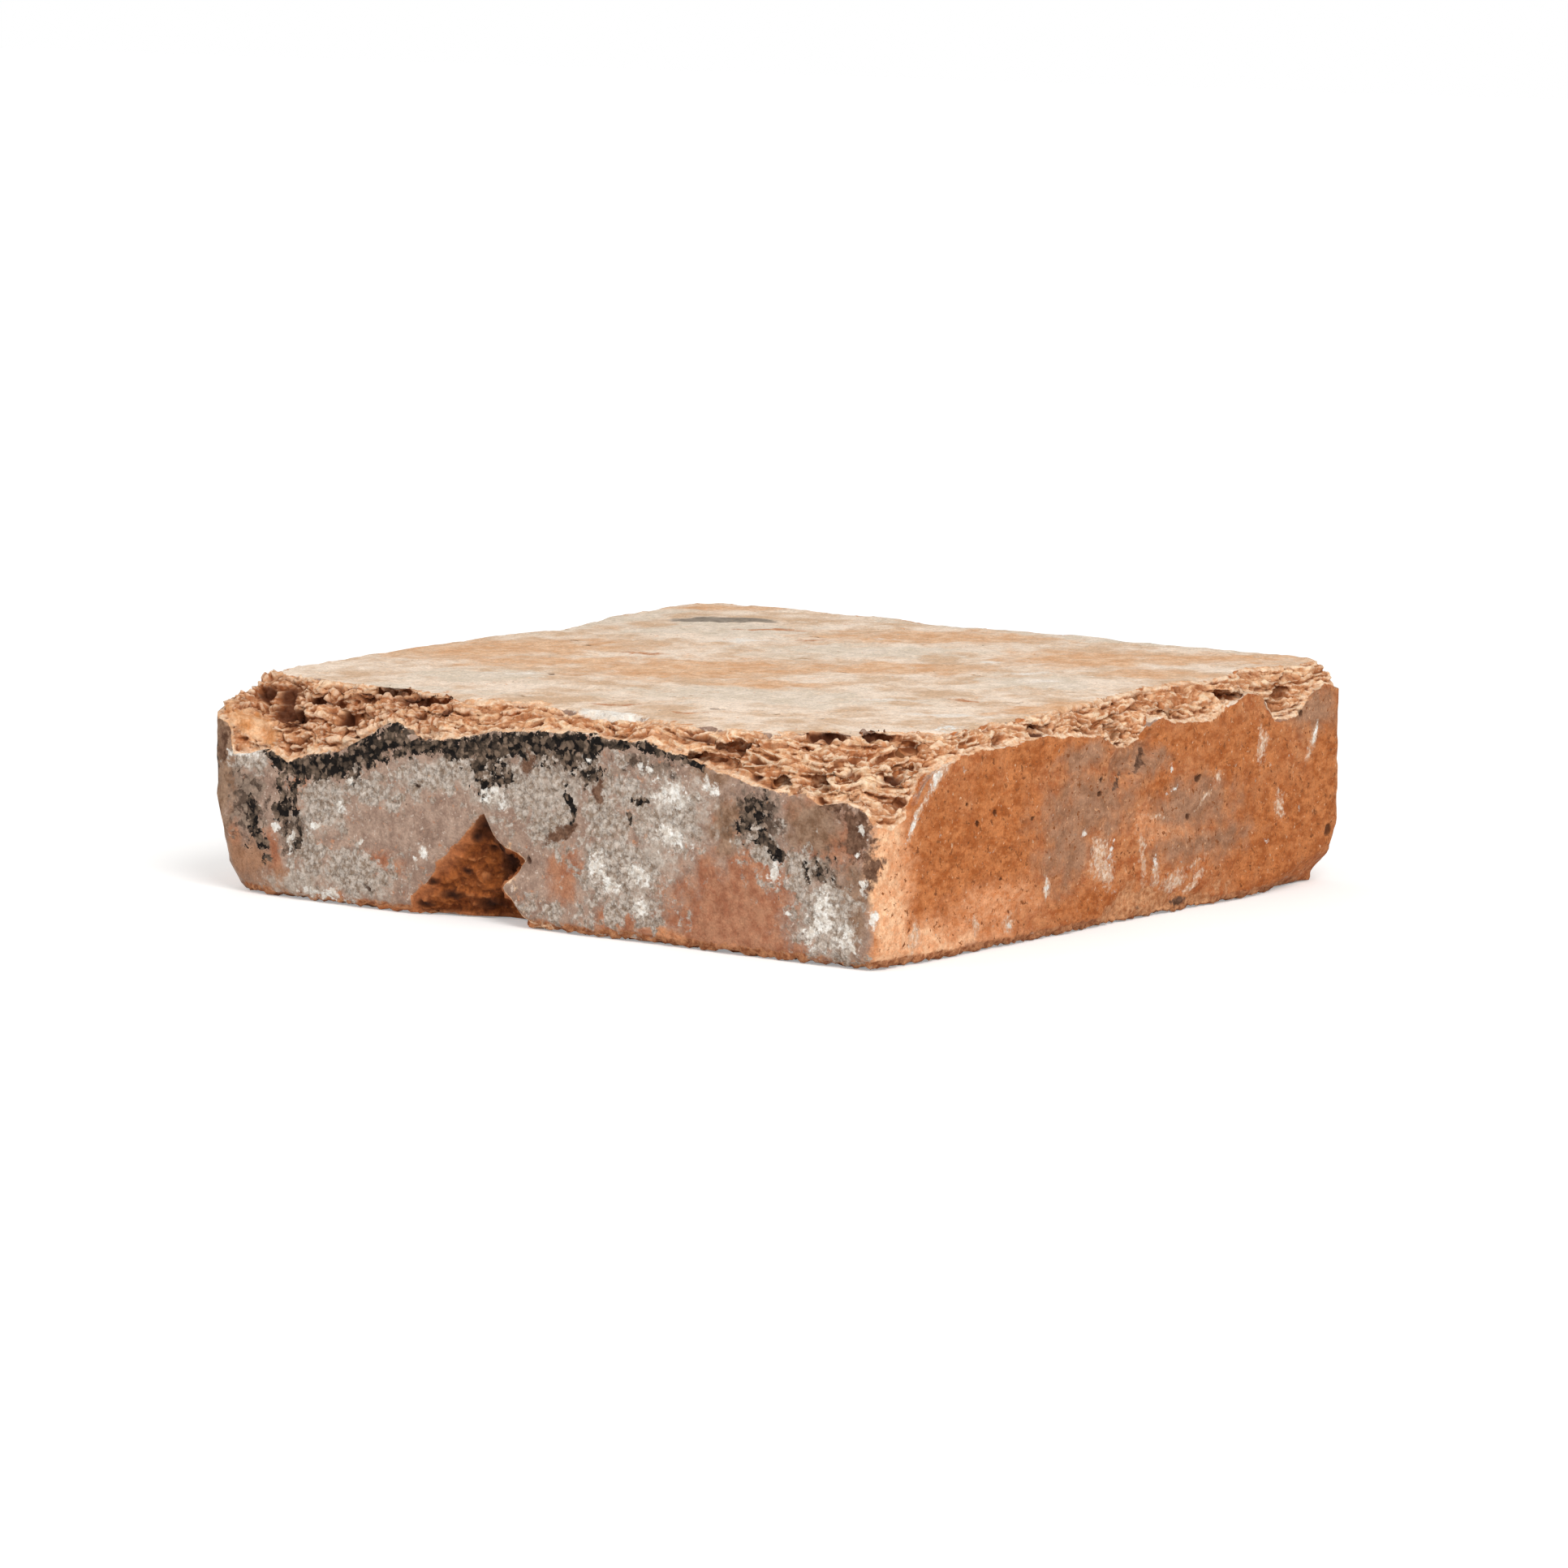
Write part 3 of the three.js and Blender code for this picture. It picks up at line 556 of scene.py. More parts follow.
def reliefTree(material):
    tree = bpy.data.node_groups.new("clayRelief", "GeometryNodeTree")
    tree.interface.new_socket("Geometry", in_out="INPUT", socket_type="NodeSocketGeometry")
    sockets = {}
    for name in reliefs:
        socket = tree.interface.new_socket(
            name + " Share", in_out="INPUT", socket_type="NodeSocketFloat")
        socket.default_value = 1.0
        sockets[name] = socket.identifier
    tree.interface.new_socket("Geometry", in_out="OUTPUT", socket_type="NodeSocketGeometry")
    entry = addNode(tree, "NodeGroupInput")
    position = addNode(tree, "GeometryNodeInputPosition")
    kept = addNode(tree, "GeometryNodeStoreNamedAttribute", {
        "data_type": "FLOAT_VECTOR", "domain": "POINT"}, {
        "Geometry": entry.outputs["Geometry"], "Name": "moulded", "Value": position})
    place = addNode(tree, "ShaderNodeVectorMath", {"operation": "SCALE"}, {
        0: position, "Scale": 1 / toMetres})
    bedding = folded(tree, place)
    height = 0.0
    for name, relief in reliefs.items():
        value, taking = pattern(tree, bedding, name)
        rise = 0.0
        for low, high, first, last in relief["steps"]:
            step = addNode(tree, "ShaderNodeMapRange", smoothly, {
                "Value": value, "From Min": low, "From Max": high, "To Min": first,
                "To Max": last})
            rise = addNode(tree, "ShaderNodeMath", {"operation": "ADD"}, {0: rise, 1: step})
        weight = addNode(tree, "GeometryNodeInputNamedAttribute", {"data_type": "FLOAT"}, {
            "Name": relief["on"]})
        here = addNode(tree, "ShaderNodeMath", {"operation": "MULTIPLY"}, {0: weight, 1: taking})
        share = addNode(tree, "ShaderNodeMath", {"operation": "MULTIPLY"}, {
            0: here, 1: entry.outputs[name + " Share"]})
        height = addNode(tree, "ShaderNodeMath", {"operation": "MULTIPLY_ADD"}, {
            0: rise, 1: share, 2: height})
    normal = addNode(tree, "GeometryNodeInputNormal")
    inMetres = addNode(tree, "ShaderNodeMath", {"operation": "MULTIPLY"}, {0: height, 1: toMetres})
    offset = addNode(tree, "ShaderNodeVectorMath", {"operation": "SCALE"}, {
        0: normal, "Scale": inMetres})
    moved = addNode(tree, "GeometryNodeSetPosition", {}, {
        "Geometry": kept.outputs["Geometry"], "Offset": offset})
    whole = addNode(tree, "GeometryNodeRealizeInstances", {}, {0: moved})
    finished = addNode(tree, "GeometryNodeSetMaterial", {}, {0: whole, "Material": material})
    addNode(tree, "NodeGroupOutput", {}, {0: finished})
    return tree, sockets


# Where each weight begins and where it is full, in its field's own values or in millimetres.
spans = {
    "broken": (-0.4, 1.2), "chip": (-0.2, 1.5), "soot": (-0.1, 0.5), "lime": (-0.1, 0.4),
    "hollow": (0.0, 0.8), "pits": (0.0, 0.7), "small": (-0.4, 0.2), "ledge": (0, 0.4),
    "offBed": (0.2, 1.5),  # the bed stays flat, so that the brick stands level
    "outRight": (100, 108), "toLeft": (5, 50), "toBackLeft": (20, 120), "toFrontRight": (120, 165),
}
# The share of the relief that is lost where clay is worn smooth. The back and left edges are
# worn round. The front and right ones are torn: in lumps on the front's left half, and else in
# flakes.
smoothed = {"outRight": 0.6, "toBackLeft": 0.7, "ledge": 0.85, "flakesInLumps": 0.4}
lumpsBackTo = -60
pitShare = 0.4  # of the depth of a hollow in the break
# Thinning of the mesh: the detail that each surface keeps, in this many levels, and how strongly
# they are followed. The bed keeps none, up to this height.
detail = {
    "small": 0.9, "soot": 0.6, "lime": 0.5, "skin": 0.3, "smallOnTop": 0.8, "top": 0.15,
    "levels": 10, "factor": 0.001, "bedTo": 0.5, "wholeTo": 0.05,
}
# Rounds of evening that find a crevice, fine or wide: crevices get painted shade, and ridges
# painted highlight.
crevices = {"hollow": 3, "deepHollow": 24}


def weigh(field, name):
    return smoothWeight(field, *spans[name])


# The weight that each kind of relief has at each point, and the share of the detail kept there.
def reliefWeights(points):
    x, y, z = points.T
    away = strayed(points)
    broken = weigh(brokenField(points), "broken")
    chip = weigh(chipField(points, brick["chips"]), "chip")
    chip *= 1 - smoothed["outRight"] * weigh(x, "outRight")
    soot = weigh(sootField(points, away), "soot")
    whiteLime, holes = (markField(away, name) for name in ("whiteLime", "pits"))
    lime = weigh(np.maximum(markField(away, "limeCrust"), whiteLime), "lime")
    skin = (1 - broken) * (1 - chip) * weigh(z, "offBed")
    torn = 1 - smoothed["toBackLeft"] * weigh(y - x, "toBackLeft")
    torn *= 1 - smoothed["ledge"] * weigh(ledgeField(points), "ledge")
    lumpy = torn * weigh(-x, "toLeft") * (y < lumpsBackTo)
    hollow = weigh(hollowField(points), "hollow") * broken
    weights = {
        "brokenWeight": broken * torn,
        "lumpWeight": broken * lumpy,
        "flakeWeight": broken * torn * (1 - smoothed["flakesInLumps"] * lumpy),
        "cellWeight": broken * weigh(x - y, "toFrontRight"),
        "hollowWeight": hollow + pitShare * weigh(holes, "pits") * skin,
        "chipWeight": chip,
        "footWeight": footWeight(points),
        "sootWeight": soot * skin,
        "limeWeight": lime * skin,
        "skinWeight": skin,
    }
    small = weigh(np.maximum(whiteLime, holes), "small")
    keep = np.maximum.reduce([
        broken, chip, detail["small"] * small, detail["soot"] * soot, detail["lime"] * lime,
        np.full(len(points), detail["skin"]),
    ])
    flat = (z > brick["topFrom"]) & (broken < detail["wholeTo"])
    keep = np.where(flat, np.maximum(detail["top"], detail["smallOnTop"] * small), keep)
    return weights, np.where(z < detail["bedTo"], 0.0, np.clip(keep, 0, 1))


def thinned(shape, keep):
    group = shape.vertex_groups.new(name="keep")
    levels = np.round(keep * detail["levels"]).astype(int)
    for level in range(detail["levels"] + 1):
        group.add(np.flatnonzero(levels == level).tolist(), level / detail["levels"], "REPLACE")
    thin = shape.modifiers.new("Thin", "DECIMATE")
    thin.vertex_group = "keep"
    thin.invert_vertex_group = True
    thin.vertex_group_factor = detail["factor"]
    thin.ratio = brick["triangles"] / (2 * len(shape.data.polygons))
    thin.use_collapse_triangulate = True
    return bake(shape, shape.name)


def roughen(shape, material):
    weights, keep = reliefWeights(readPoints(shape.data))
    setAttributes(shape.data, weights)
    tree, sockets = reliefTree(material)
    relief = shape.modifiers.new("Relief", "NODES")
    relief.node_group = tree
    for identifier in sockets.values():
        relief[identifier] = 1.0
    shape = bake(shape, shape.name)
    rough = readPoints(shape.data)
    setAttributes(shape.data, {
        name: hollowness(shape.data, rough, rounds) for name, rounds in crevices.items()})
    return thinned(shape, keep)


# Each layer of colour over the one before: the attribute that places it, the values of it at
# which the layer begins and is full, the size and strength of the noise that breaks up its edge,
# its two colours, the size of the mottling between them, and whatever else it has. A crust lies
# in flakes and a cracked film in cells: their size, and how dark the gaps between them are. In a
# crust, the darkening toward each flake's edge is painted shade between the flakes.
dragged = (1, 0.5, 1)  # moulding dragged the right face's skin along it
layers = [
    ("sideSkin", (2.0, 2.8), (2.4, 10), ("#a9755a", "#bb8c70"), 2),
    ("sideSkin", (1.9, 2.7), (1.8, 10), ("#c9b3a2", "#dccabc"), 1),
    ("sideSkin", (2.5, 3.3), (1.6, 10), ("#5d493c", "#76604f"), 1),
    ("rightSkin", (0.3, 0.7), (5, 0.5), ("#a85e32", "#cb8859"), 3, {"stretch": dragged}),
    ("orangeSkin", (-0.2, 0.5), (7, 1.6), ("#a25828", "#c77d4a"), 2.4, {"stretch": dragged}),
    ("paleOrange", (-0.3, 0.7), (6, 1.6), ("#cc8150", "#e3a377"), 2, {"stretch": dragged}),
    ("rustSkin", (-0.2, 0.5), (5, 1.6), ("#a0664a", "#b98465"), 4),
    ("mauveFilm", (-0.3, 0.7), (6, 1.8), ("#966b4f", "#b08467"), 3, {"stretch": dragged}),
    ("peachWear", (-0.4, 0.4), (3, 1.3), ("#e3a275", "#f8c79d"), 2.5),
    ("brownSkin", (-0.3, 0.5), (4, 1.8), ("#7e5e47", "#a0816a"), 3),
    ("rightSkin", (2.2, 2.8), (1.7, 10), ("#c98f66", "#deb08c"), 1, {"stretch": dragged}),
    ("rightSkin", (2.0, 2.5), (1.7, 10), ("#7d4727", "#94592f"), 1, {"stretch": dragged}),
    ("topSkin", (0.4, 0.6), (8, 0.2), ("#d5b393", "#f4dfca"), 16),
    ("topSkin", (2.6, 3.4), (1.6, 10), ("#93704f", "#b18a66"), 2),
    ("topSkin", (2.5, 3.2), (2.2, 10), ("#efe0cf", "#f5eadc"), 2),
    ("greyTop", (-0.1, 0.5), (12, 2.6), ("#dccab4", "#ebd9c6"), 7, {"rough": 0.6}),
    ("peachTop", (-0.4, 0.6), (10, 2.6), ("#d7a57b", "#e7bf9b"), 6, {"rough": 0.6}),
    ("redTop", (-0.2, 0.6), (3, 2.4), ("#b97c55", "#cf9a74"), 2),
    ("brownTop", (-0.1, 0.3), (5, 0.5), ("#85786a", "#9c8f80"), 5),
    ("scratches", (-0.1, 0.7), (2, 1.6), ("#a0805f", "#b99b7b"), 2),
    ("foot", (0.3, 0.7), (2.4, 1.6), ("#8f5534", "#c68c63"), 2),
    ("warmWhite", (-0.2, 0.8), (4, 2.4), ("#ecdccb", "#f6ece0"), 4),
    ("sootFilm", (-0.1, 0.5), (2.6, 3.0), ("#5c4a3e", "#9c8675"), 1.7, {"crust": (1.7, 0.3)}),
    ("limeFilm", (-0.2, 0.7), (3.5, 3.0), ("#ab998a", "#cdc0b3"), 3),
    ("creamFilm", (-0.1, 0.8), (1.4, 2.6), ("#c99a76", "#e9d2bc"), 1.2),
    ("limeCrust", (-0.2, 0.4), (3.4, 5.0), ("#927d6b", "#cfc2b6"), 1.7, {"cracks": (2.8, 0.36)}),
    ("darkBrown", (-0.1, 0.4), (2, 2.4), ("#573a2a", "#80604c"), 1.6),
    ("soot", (0.0, 0.15), (2.2, 4.5), ("#18120f", "#836e5d"), 1.5, {"crust": (1.5, 0.65)}),
    ("whiteLime", (0.0, 0.7), (1.6, 4.2), ("#d6cabc", "#f5f1ea"), 1.6),
    ("broken", (-0.2, 0.1), (2.0, 3.0), ("#c6875b", "#eabb91"), 2.6),
    ("broken", (3.0, 4.0), (6, 7.0), ("#ab6539", "#cb8555"), 2.2),
    ("lumpWeight", (0.5, 1.0), (4, 3.0), ("#b26d42", "#e8b286"), 2.4),
    ("paleBreak", (0.0, 0.6), (4, 1.6), ("#dba87c", "#f2d0ab"), 3),
    ("lip", (0.0, 0.4), (2.0, 2.0), ("#e2ad82", "#f6d8b9"), 2),
    ("ledge", (-0.1, 0.3), (3.0, 1.4), ("#cd8a54", "#f0c49b"), 5),
    ("chip", (0.1, 0.7), (4, 4.0), ("#ac6e45", "#d7a075"), 2),
    ("wedge", (-0.1, 0.3), (2.5, 0.6), ("#6a3519", "#a8602f"), 3.4),
    ("limePatch", (0.0, 0.3), (2.0, 1.0), ("#e6d8c8", "#f5eee4"), 2),
]

# Painted shade darkens the crevices of broken and chipped clay, and painted highlight makes its
# crests pale. For each kind of relief or attribute and the surface that it shades: where a shade
# begins, where it is full, its colour and strength.
paintedShadeAndHighlight = {
    ("Sheet", "torn"): [(0.5, 0.6, "#a8683f", 0.6), (0.42, 0.36, "#f8dcb9", 0.7)],
    ("Flake", "torn"): [(0.5, 0.58, "#ae6c40", 0.6), (0.6, 0.7, "#68401f", 0.7)],
    ("Cell", "torn"): [
        (0.08, 0.2, "#b06d3e", 0.75), (0.26, 0.5, "#7c4a2b", 0.5), (0.08, 0.03, "#f8dfbf", 0.75),
    ],
    ("Lump", "torn"): [(0.07, 0.01, "#6e3e23", 0.6)],
    ("Shard", "torn"): [(0.1, 0.02, "#7a4527", 0.6), (0.16, 0.34, "#f0c8a2", 0.45)],
    ("hollow", "torn"): [(0.06, 0.35, "#7f4a2a", 0.75)],
    ("deepHollow", "torn"): [(0.4, 1.8, "#7b4426", 0.7)],
    ("hollow", "broken"): [(-0.06, -0.3, "#f6d8ba", 0.55)],
    ("hollow", "chip"): [(-0.06, -0.4, "#c9814f", 0.6)],
    # Painted light: the wedge is paler where it is shallow, near its rim.
    ("wedgeDepth", "chip"): [(2.4, 0.6, "#b8734a", 0.6)],
    # Painted shade in the deep places of the break and of the wedge.
    ("dark", "broken"): [(0.05, 0.45, "#834b2b", 0.75), (0.3, 0.6, "#4c2413", 0.8)],
    ("dark", "chip"): [(0.05, 0.5, "#522a16", 0.85), (0.4, 0.85, "#29130a", 0.8)],
}

finish = {
    "skin": {"colours": ("#957969", "#b69a88"), "mottle": 5, "rough": 0.72},
    # from one colour to the other: in the mottling's noise, and over a crust's random flakes
    "mottle": (0.36, 0.64), "flakes": (0.2, 0.8),
    # the pattern of each kind of cell, where its gaps begin and are full, and how cells are bent
    "crust": ("F1", 0.3, 0.75), "cracks": ("DISTANCE_TO_EDGE", 0.09, 0.0), "bend": 1.6,
    # The dark colour in the pits is painted shade.
    "pit": {"colour": "#4a2a18", "full": 0.5, "strength": 0.85, "depth": 0.8},  # burnt-out holes
    # sand and grit in the clay: size, and the brightness of the darkest and palest grains
    "grains": ((0.6, 0.84, 1.14), (1.8, 0.88, 1.12)),
    # roughness too fine for the mesh, from single sand grains up: size and height
    "bumps": ((0.6, 0.16), (1.5, 0.4), (4.0, 0.2)),
    # the layers look their noise up in turn at this many places, each this far from the last
    "copies": 5, "apart": (31.0, 17.0, 7.0),
}


def mottled(tree, place, coat):
    size = coat["mottle"]
    stretched = addNode(tree, "ShaderNodeVectorMath", {"operation": "MULTIPLY"}, {
        0: place, 1: coat.get("stretch", (1, 1, 1))})
    grain = addNode(tree, "ShaderNodeTexNoise", {}, {
        "Vector": stretched, "Scale": 1 / size, "Detail": 5.0,
        "Roughness": coat.get("rough", 0.66)})
    value, (low, high) = grain, finish["mottle"]
    kind = next((kind for kind in ("crust", "cracks") if kind in coat), None)
    if kind:
        feature, start, full = finish[kind]
        cell, darkness = coat[kind]
        parts = addNode(tree, "ShaderNodeSeparateColor", {}, {0: grain.outputs["Color"]}).outputs
        sideways = addNode(tree, "ShaderNodeCombineXYZ", {}, dict(enumerate(parts)))
        bent = addNode(tree, "ShaderNodeVectorMath", {"operation": "MULTIPLY_ADD"}, {
            0: sideways, 1: (finish["bend"] * size,) * 3, 2: stretched})
        cells = addNode(tree, "ShaderNodeTexVoronoi", {"feature": feature}, {
            "Vector": bent, "Scale": 1 / cell})
        # Darker toward the cells' edges: in a crust, painted shade between its flakes; in a cracked
        # film, its cracks.
        gap = addNode(tree, "ShaderNodeMapRange", smoothly, {
            "Value": cells, "From Min": start, "From Max": full, "To Max": darkness})
        if kind == "crust":
            value = addNode(tree, "ShaderNodeSeparateColor", {}, {0: cells.outputs["Color"]})
            low, high = finish["flakes"]
    share = addNode(tree, "ShaderNodeMapRange", smoothly, {
        "Value": value, "From Min": low, "From Max": high})
    mix = addNode(tree, "ShaderNodeMix", inColour, {
        "Factor": share, 6: linear(coat["colours"][0]), 7: linear(coat["colours"][1])}).outputs[2]
    if kind:
        mix = addNode(tree, "ShaderNodeMix", inColour, {
            "Factor": gap, 6: mix, 7: linear("#000000")}).outputs[2]
    return mix


# The skin and every layer over it, and the first mask that each attribute gives.
def layered(tree, place):
    copies = finish["copies"]
    places = [addNode(tree, "ShaderNodeVectorMath", {"operation": "ADD"}, {
        0: place, 1: tuple(i * step for step in finish["apart"])}) for i in range(copies)]
    colour = mottled(tree, place, finish["skin"])
    masks = {}
    for i, (name, (low, high), (size, strength), colours, mottle, *more) in enumerate(layers):
        field = addNode(tree, "ShaderNodeAttribute", {"attribute_name": name})
        raggedness = addNode(tree, "ShaderNodeTexNoise", {}, {
            "Vector": places[i % copies], "Scale": 1 / size, "Detail": 4.0, "Roughness": 0.65})
        ragged = addNode(tree, "ShaderNodeMath", {"operation": "MULTIPLY_ADD"}, {
            0: raggedness, 1: strength, 2: field.outputs["Fac"]})
        mask = addNode(tree, "ShaderNodeMapRange", smoothly, {
            "Value": ragged, "From Min": low + strength / 2, "From Max": high + strength / 2})
        masks.setdefault(name, mask)
        coat = mottled(tree, places[(i + 2) % copies], dict(*more, colours=colours, mottle=mottle))
        colour = addNode(tree, "ShaderNodeMix", inColour, {
            "Factor": mask, 6: colour, 7: coat}).outputs[2]
    return colour, masks


# Painted shade in the crevices and painted highlight on the crests of broken and chipped clay.
def shaded(tree, place, colour, masks):
    torn = addNode(tree, "ShaderNodeMath", {"operation": "MAXIMUM"}, {
        0: masks["broken"], 1: masks["chip"]})
    for smooth in ("limePatch", "ledge"):
        torn = addNode(tree, "ShaderNodeMath", {"operation": "SUBTRACT", "use_clamp": True}, {
            0: torn, 1: masks[smooth]})
    band = addNode(tree, "ShaderNodeMath", {"operation": "SUBTRACT", "use_clamp": True}, {
        0: torn, 1: masks["chip"]})
    surfaces = {"torn": torn, "chip": masks["chip"], "broken": band}
    bedding = folded(tree, place)
    for (name, surface), shades in paintedShadeAndHighlight.items():
        if name in reliefs:
            value, taking = pattern(tree, bedding, name)
            weight = addNode(tree, "ShaderNodeAttribute", {"attribute_name": reliefs[name]["on"]})
            here = addNode(tree, "ShaderNodeMath", {"operation": "MULTIPLY"}, {
                0: weight.outputs["Fac"], 1: taking})
            here = addNode(tree, "ShaderNodeMath", {"operation": "MULTIPLY"}, {
                0: here, 1: surfaces[surface]})
        else:
            value = addNode(tree, "ShaderNodeAttribute", {"attribute_name": name}).outputs["Fac"]
            here = surfaces[surface]
        for low, high, shade, strength in shades:
            depth = addNode(tree, "ShaderNodeMapRange", smoothly, {
                "Value": value, "From Min": low, "From Max": high, "To Max": strength})
            share = addNode(tree, "ShaderNodeMath", {"operation": "MULTIPLY"}, {0: depth, 1: here})
            colour = addNode(tree, "ShaderNodeMix", inColour, {
                "Factor": share, 6: colour, 7: linear(shade)}).outputs[2]
    return colour


# Brick clay, moulded by hand in a sanded mould, fired and weathered. It is sandy and quite matt,
# with no glossy highlight; on broken clay, painted highlight makes the crests paler and painted
# shade darkens the crevices.
def firedClay():
    material = bpy.data.materials.new("firedClay")
    material.use_nodes = True
    tree = material.node_tree
    tree.nodes.clear()
    moulded = addNode(tree, "ShaderNodeAttribute", {"attribute_name": "moulded"})
    place = addNode(tree, "ShaderNodeVectorMath", {"operation": "SCALE"}, {
        0: moulded.outputs["Vector"], "Scale": 1 / toMetres})
    colour, masks = layered(tree, place)
    colour = shaded(tree, place, colour, masks)

    # Painted shade in the pits.
    pit = finish["pit"]
    pits = addNode(tree, "ShaderNodeAttribute", {"attribute_name": "pits"})
    inPit = addNode(tree, "ShaderNodeMapRange", smoothly, {
        "Value": pits.outputs["Fac"], "From Max": pit["full"], "To Max": pit["strength"]})
    colour = addNode(tree, "ShaderNodeMix", inColour, {
        "Factor": inPit, 6: colour, 7: linear(pit["colour"])}).outputs[2]

    for size, darkest, palest in finish["grains"]:
        grain = addNode(tree, "ShaderNodeTexNoise", {}, {
            "Vector": place, "Scale": 1 / size, "Detail": 2.0, "Roughness": 0.6})
        shade = addNode(tree, "ShaderNodeMapRange", {}, {
            "Value": grain, "From Min": 0.3, "From Max": 0.7, "To Min": darkest, "To Max": palest})
        colour = addNode(tree, "ShaderNodeVectorMath", {"operation": "SCALE"}, {
            0: colour, "Scale": shade})

    height = 0.0
    for size, relief in finish["bumps"]:
        lump = addNode(tree, "ShaderNodeTexNoise", {}, {
            "Vector": place, "Scale": 1 / size, "Detail": 3.0, "Roughness": 0.6})
        height = addNode(tree, "ShaderNodeMath", {"operation": "MULTIPLY_ADD"}, {
            0: lump, 1: relief, 2: height})
    sunken = addNode(tree, "ShaderNodeMath", {"operation": "MULTIPLY_ADD"}, {
        0: inPit, 1: -pit["depth"], 2: height})
    bump = addNode(tree, "ShaderNodeBump", {}, {"Distance": toMetres, "Height": sunken})
    surface = addNode(tree, "ShaderNodeBsdfPrincipled", {}, {
        "Base Color": colour, "Roughness": 0.95, "Specular IOR Level": 0.2, "Normal": bump})
    addNode(tree, "ShaderNodeOutputMaterial", {}, {"Surface": surface})
    return material


painted = {
    "broken": (-2, 3), "brokenRounds": 3, "chip": (-3, 3),  # where the values are cut off
    "wedgeSteepness": 4, "wedgeStart": 1,  # so that the wedge is chipped clay right to its rim
    "wallFrom": -14, "wallTo": 30,  # x and z of the wedge's right wall
    # the pale lip of fresh clay along the rims: depth in the break and in the wall, half width
    "lip": (0.6, 0.3, 0.9), "wallEdge": 0.5,
    "topFacing": (0.6, 0.9), "rightFacing": (0.5, 0.8),
}


# The values at each point that the layers and shades of colour follow.
def colourFields(mesh):
    points, normals = readPoints(mesh, "moulded"), readNormals(mesh)
    away = strayed(points)
    halfway = 0.5 * (points + away)
    x, y, z = points.T
    underTop = topPlane(x, y) - z
    broken = np.minimum(brokenField(halfway), underFace(underTop))
    even = evened(mesh, np.clip(broken, *painted["broken"])[:, None], painted["brokenRounds"])
    wedge = chipField(points, ["wedge"])
    wall = np.where((x > painted["wallFrom"]) & (z < painted["wallTo"]), wedge, farOutside)
    inBreak, inWall, halfLip = painted["lip"]
    fromLip = np.minimum(np.abs(broken - inBreak), np.abs(wall - inWall))
    onWallEdge = np.abs(wall) < painted["wallEdge"]
    inWedge = painted["wedgeSteepness"] * wedge + painted["wedgeStart"]
    others = [name for name in brick["chips"] if name not in ("wedge", "gouge")]
    chip = np.minimum(chipField(halfway, others), underFace(np.minimum(underTop, z)))
    onTop = smoothWeight(normals[:, 2], *painted["topFacing"]) * (z > brick["topFrom"])
    onRight = smoothWeight(normals[:, 0], *painted["rightFacing"])
    return {
        **{name: markField(away, name) for name in marks},
        **{name: ellipsoid(points - middle, half) for name, (middle, half) in patches.items()},
        "soot": sootField(points, away),
        "broken": even[:, 0],
        "lip": 1 - fromLip / halfLip,
        "wedge": np.clip(wedge, *painted["chip"]) - 2 * onWallEdge,
        # Painted light on the shallow rim of the wedge follows this depth.
        "wedgeDepth": np.where(wedge > -1, wedge, -farOutside),
        "chip": np.clip(np.maximum(chip, inWedge), *painted["chip"]),
        # Painted shade in the deep places, darkest at their middles.
        "dark": hollowField(points),
        "foot": footWeight(points),
        "ledge": ledgeField(points),
        "topSkin": onTop,
        "rightSkin": onRight,
        "sideSkin": 1 - np.maximum(onTop, onRight),
    }


print("shape: fine copy of the solid")
clay = firedClay()
body = fineCopy(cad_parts["brick"], "fired_brick")
print("shape: relief on", len(body.data.vertices), "points")
body = roughen(body, clay)
body.data.shade_smooth()
print("shape: triangles", len(body.data.polygons))
setAttributes(body.data, colourFields(body.data))
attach(body, "root")
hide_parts("brick")


# In metres and watts.
studio = {
    "floorSize": 14.0, "floorColour": "#f3f2f0",
    "floorDrop": 0.0003,  # below the bed, to keep the two planes apart
    # light added to the floor that the camera sees, so that it is white, and how far off
    "floorLift": (0.3, 1.0), "floorReach": (0.35, 2.5),
    "worldStrength": 0.62,
    "key": {"place": (1.45, -1.0, 1.5), "size": 1.1, "power": 26},
    "fill": {"place": (-1.4, -1.3, 0.9), "size": 1.6, "power": 6},
}


# 1 where the camera sees a surface straight, in a mirror or through glass.
def seenPlainly(tree):
    path = addNode(tree, "ShaderNodeLightPath")
    direct = path.outputs["Is Camera Ray"]
    for name in ("Is Glossy Ray", "Is Transmission Ray"):
        direct = addNode(tree, "ShaderNodeMath", {"operation": "MAXIMUM"}, {
            0: direct, 1: path.outputs[name]})
    return direct


# Matt white backdrop paper: it takes the brick's shadow and is otherwise plain white.
def whitePaper():
    paper = bpy.data.materials.new("whitePaper")
    paper.use_nodes = True
    tree = paper.node_tree
    tree.nodes.clear()
    spot = addNode(tree, "ShaderNodeNewGeometry")
    away = addNode(tree, "ShaderNodeVectorMath", {"operation": "LENGTH"}, {0: spot})
    (near, far), (least, most) = studio["floorReach"], studio["floorLift"]
    rise = addNode(tree, "ShaderNodeMapRange", {}, {
        "Value": away.outputs["Value"], "From Min": near, "From Max": far, "To Min": least,
        "To Max": most})
    seen = seenPlainly(tree)
    lift = addNode(tree, "ShaderNodeMath", {"operation": "MULTIPLY"}, {0: seen, 1: rise})
    matt = addNode(tree, "ShaderNodeBsdfDiffuse", {}, {"Color": linear(studio["floorColour"])})
    glow = addNode(tree, "ShaderNodeEmission", {}, {"Strength": lift})
    both = addNode(tree, "ShaderNodeAddShader", {}, {0: matt, 1: glow})
    addNode(tree, "ShaderNodeOutputMaterial", {}, {"Surface": both})
    return paper


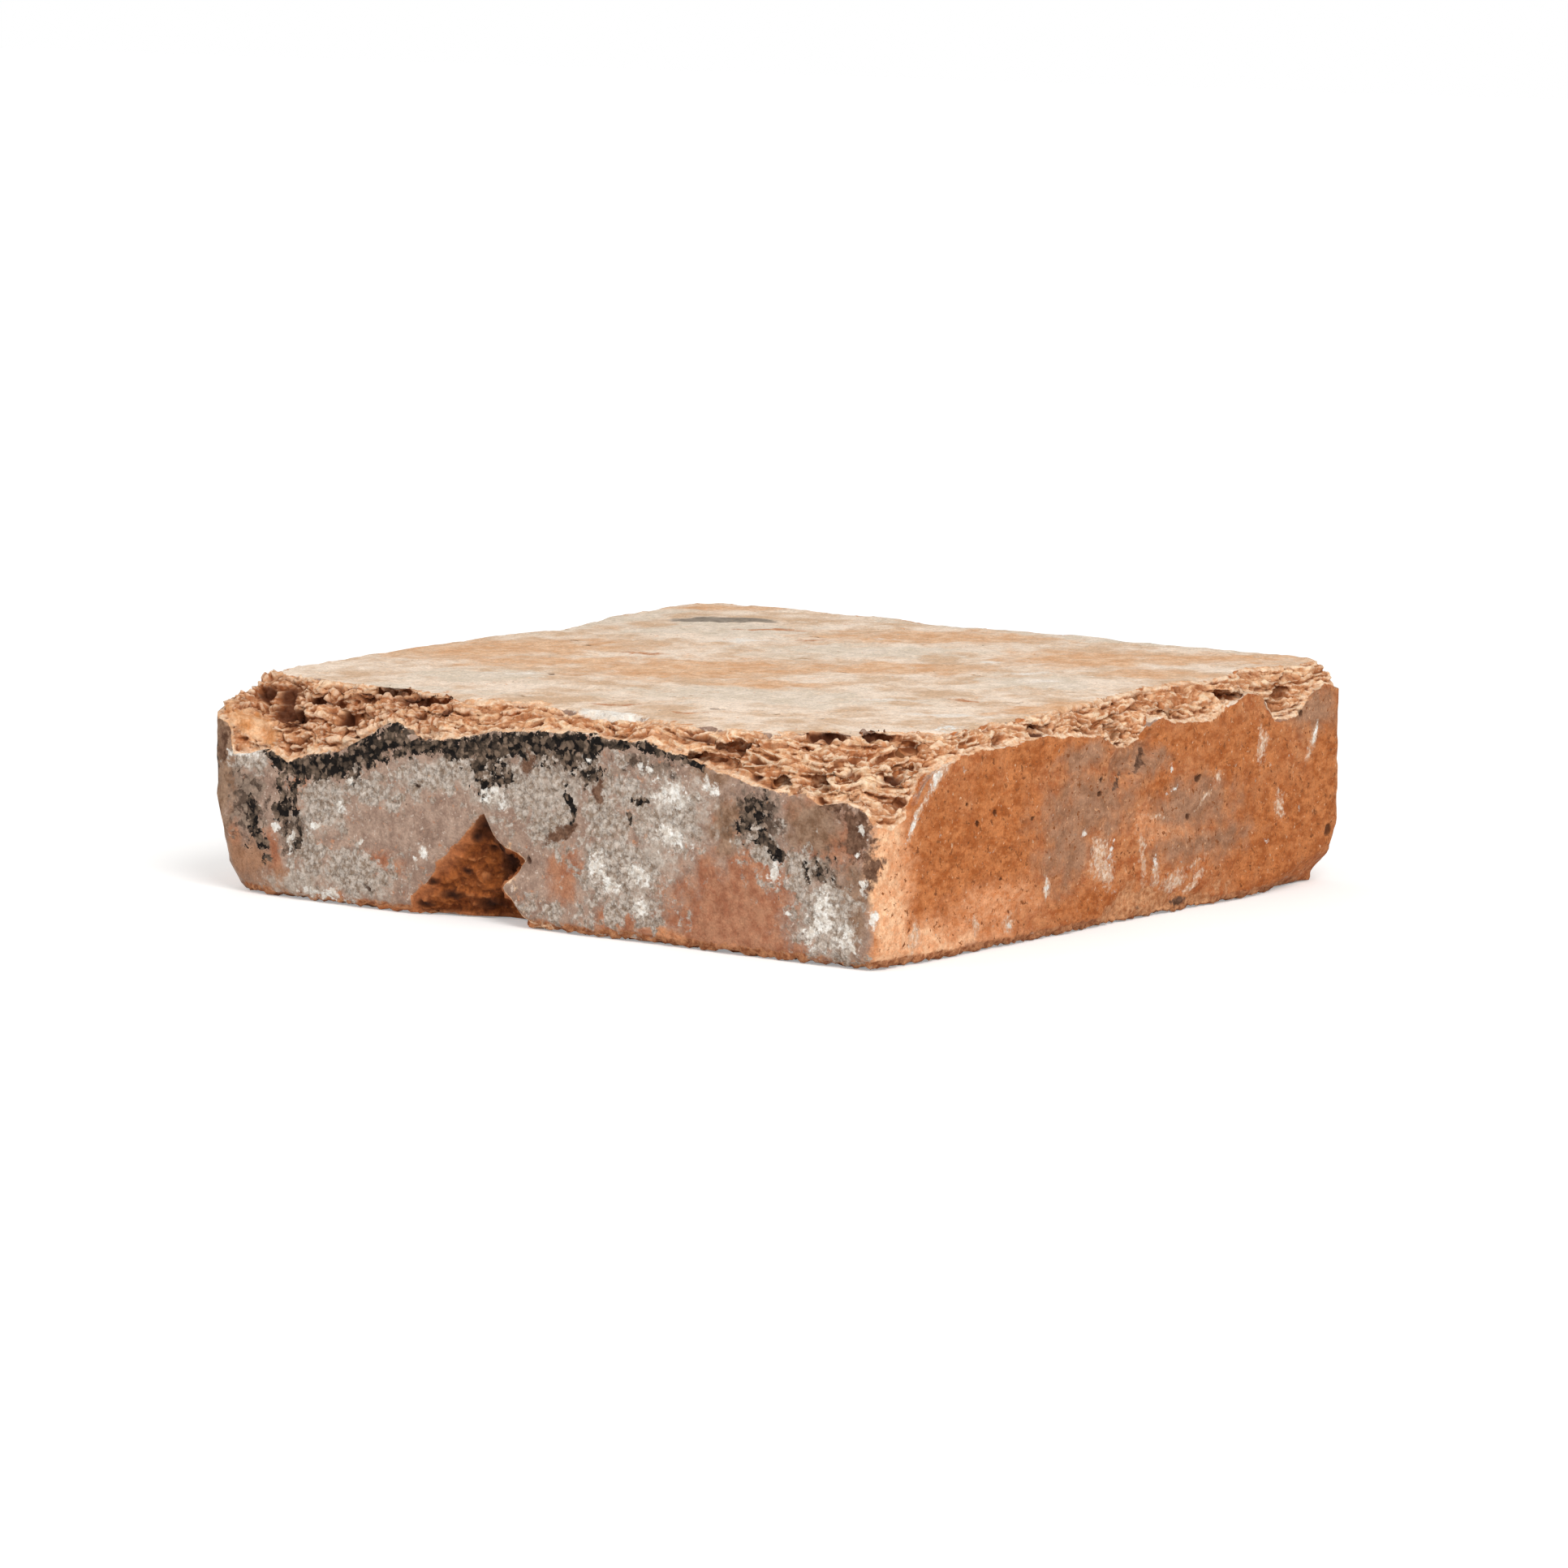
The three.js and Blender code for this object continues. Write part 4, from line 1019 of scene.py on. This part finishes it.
def layFloor():
    half, height = studio["floorSize"] / 2, -studio["floorDrop"]
    corners = [(x * half, y * half, height) for x, y in ((-1, -1), (1, -1), (1, 1), (-1, 1))]
    mesh = bpy.data.meshes.new("floor")
    mesh.from_pydata(corners, [], [(0, 1, 2, 3)])
    mesh.materials.append(whitePaper())
    floor = bpy.data.objects.new("floor", mesh)
    bpy.context.scene.collection.objects.link(floor)


def hangLamp(name):
    lamp = studio[name]
    light = bpy.data.lights.new(name, "AREA")
    light.shape = "DISK"
    light.size = lamp["size"]
    light.energy = lamp["power"]
    made = bpy.data.objects.new(name, light)
    made.location = lamp["place"]
    made.rotation_euler = (-made.location).to_track_quat("-Z", "Y").to_euler()
    bpy.context.scene.collection.objects.link(made)


def lightWorld():
    world = bpy.data.worlds.new("studio")
    world.use_nodes = True
    tree = world.node_tree
    tree.nodes.clear()
    strength = addNode(tree, "ShaderNodeMapRange", {}, {
        "Value": seenPlainly(tree), "To Min": studio["worldStrength"], "To Max": 1.0})
    sky = addNode(tree, "ShaderNodeBackground", {}, {"Color": (1, 1, 1, 1), "Strength": strength})
    addNode(tree, "ShaderNodeOutputWorld", {}, {"Surface": sky})
    bpy.context.scene.world = world


viewpoint = {
    "place": (1.1408, -1.5525, 0.2764),  # m
    "heading": 36.31, "pitch": -7.34, "roll": 0.78,  # degrees
    "lens": 159.0, "sensor": 36,  # mm
}


def placeCamera():
    camera = bpy.data.objects.new("camera", bpy.data.cameras.new("camera"))
    camera.data.lens = viewpoint["lens"]
    camera.data.sensor_width = viewpoint["sensor"]
    heading = Matrix.Rotation(math.radians(viewpoint["heading"]), 4, "Z")
    pitch = Matrix.Rotation(math.radians(90 + viewpoint["pitch"]), 4, "X")
    roll = Matrix.Rotation(math.radians(viewpoint["roll"]), 4, "Z")
    camera.matrix_world = Matrix.Translation(viewpoint["place"]) @ heading @ pitch @ roll
    bpy.context.scene.collection.objects.link(camera)
    bpy.context.scene.camera = camera


print("studio: floor, lamps and camera")
layFloor()
hangLamp("key")
hangLamp("fill")
lightWorld()
placeCamera()
bpy.context.scene.view_settings.view_transform = "Standard"
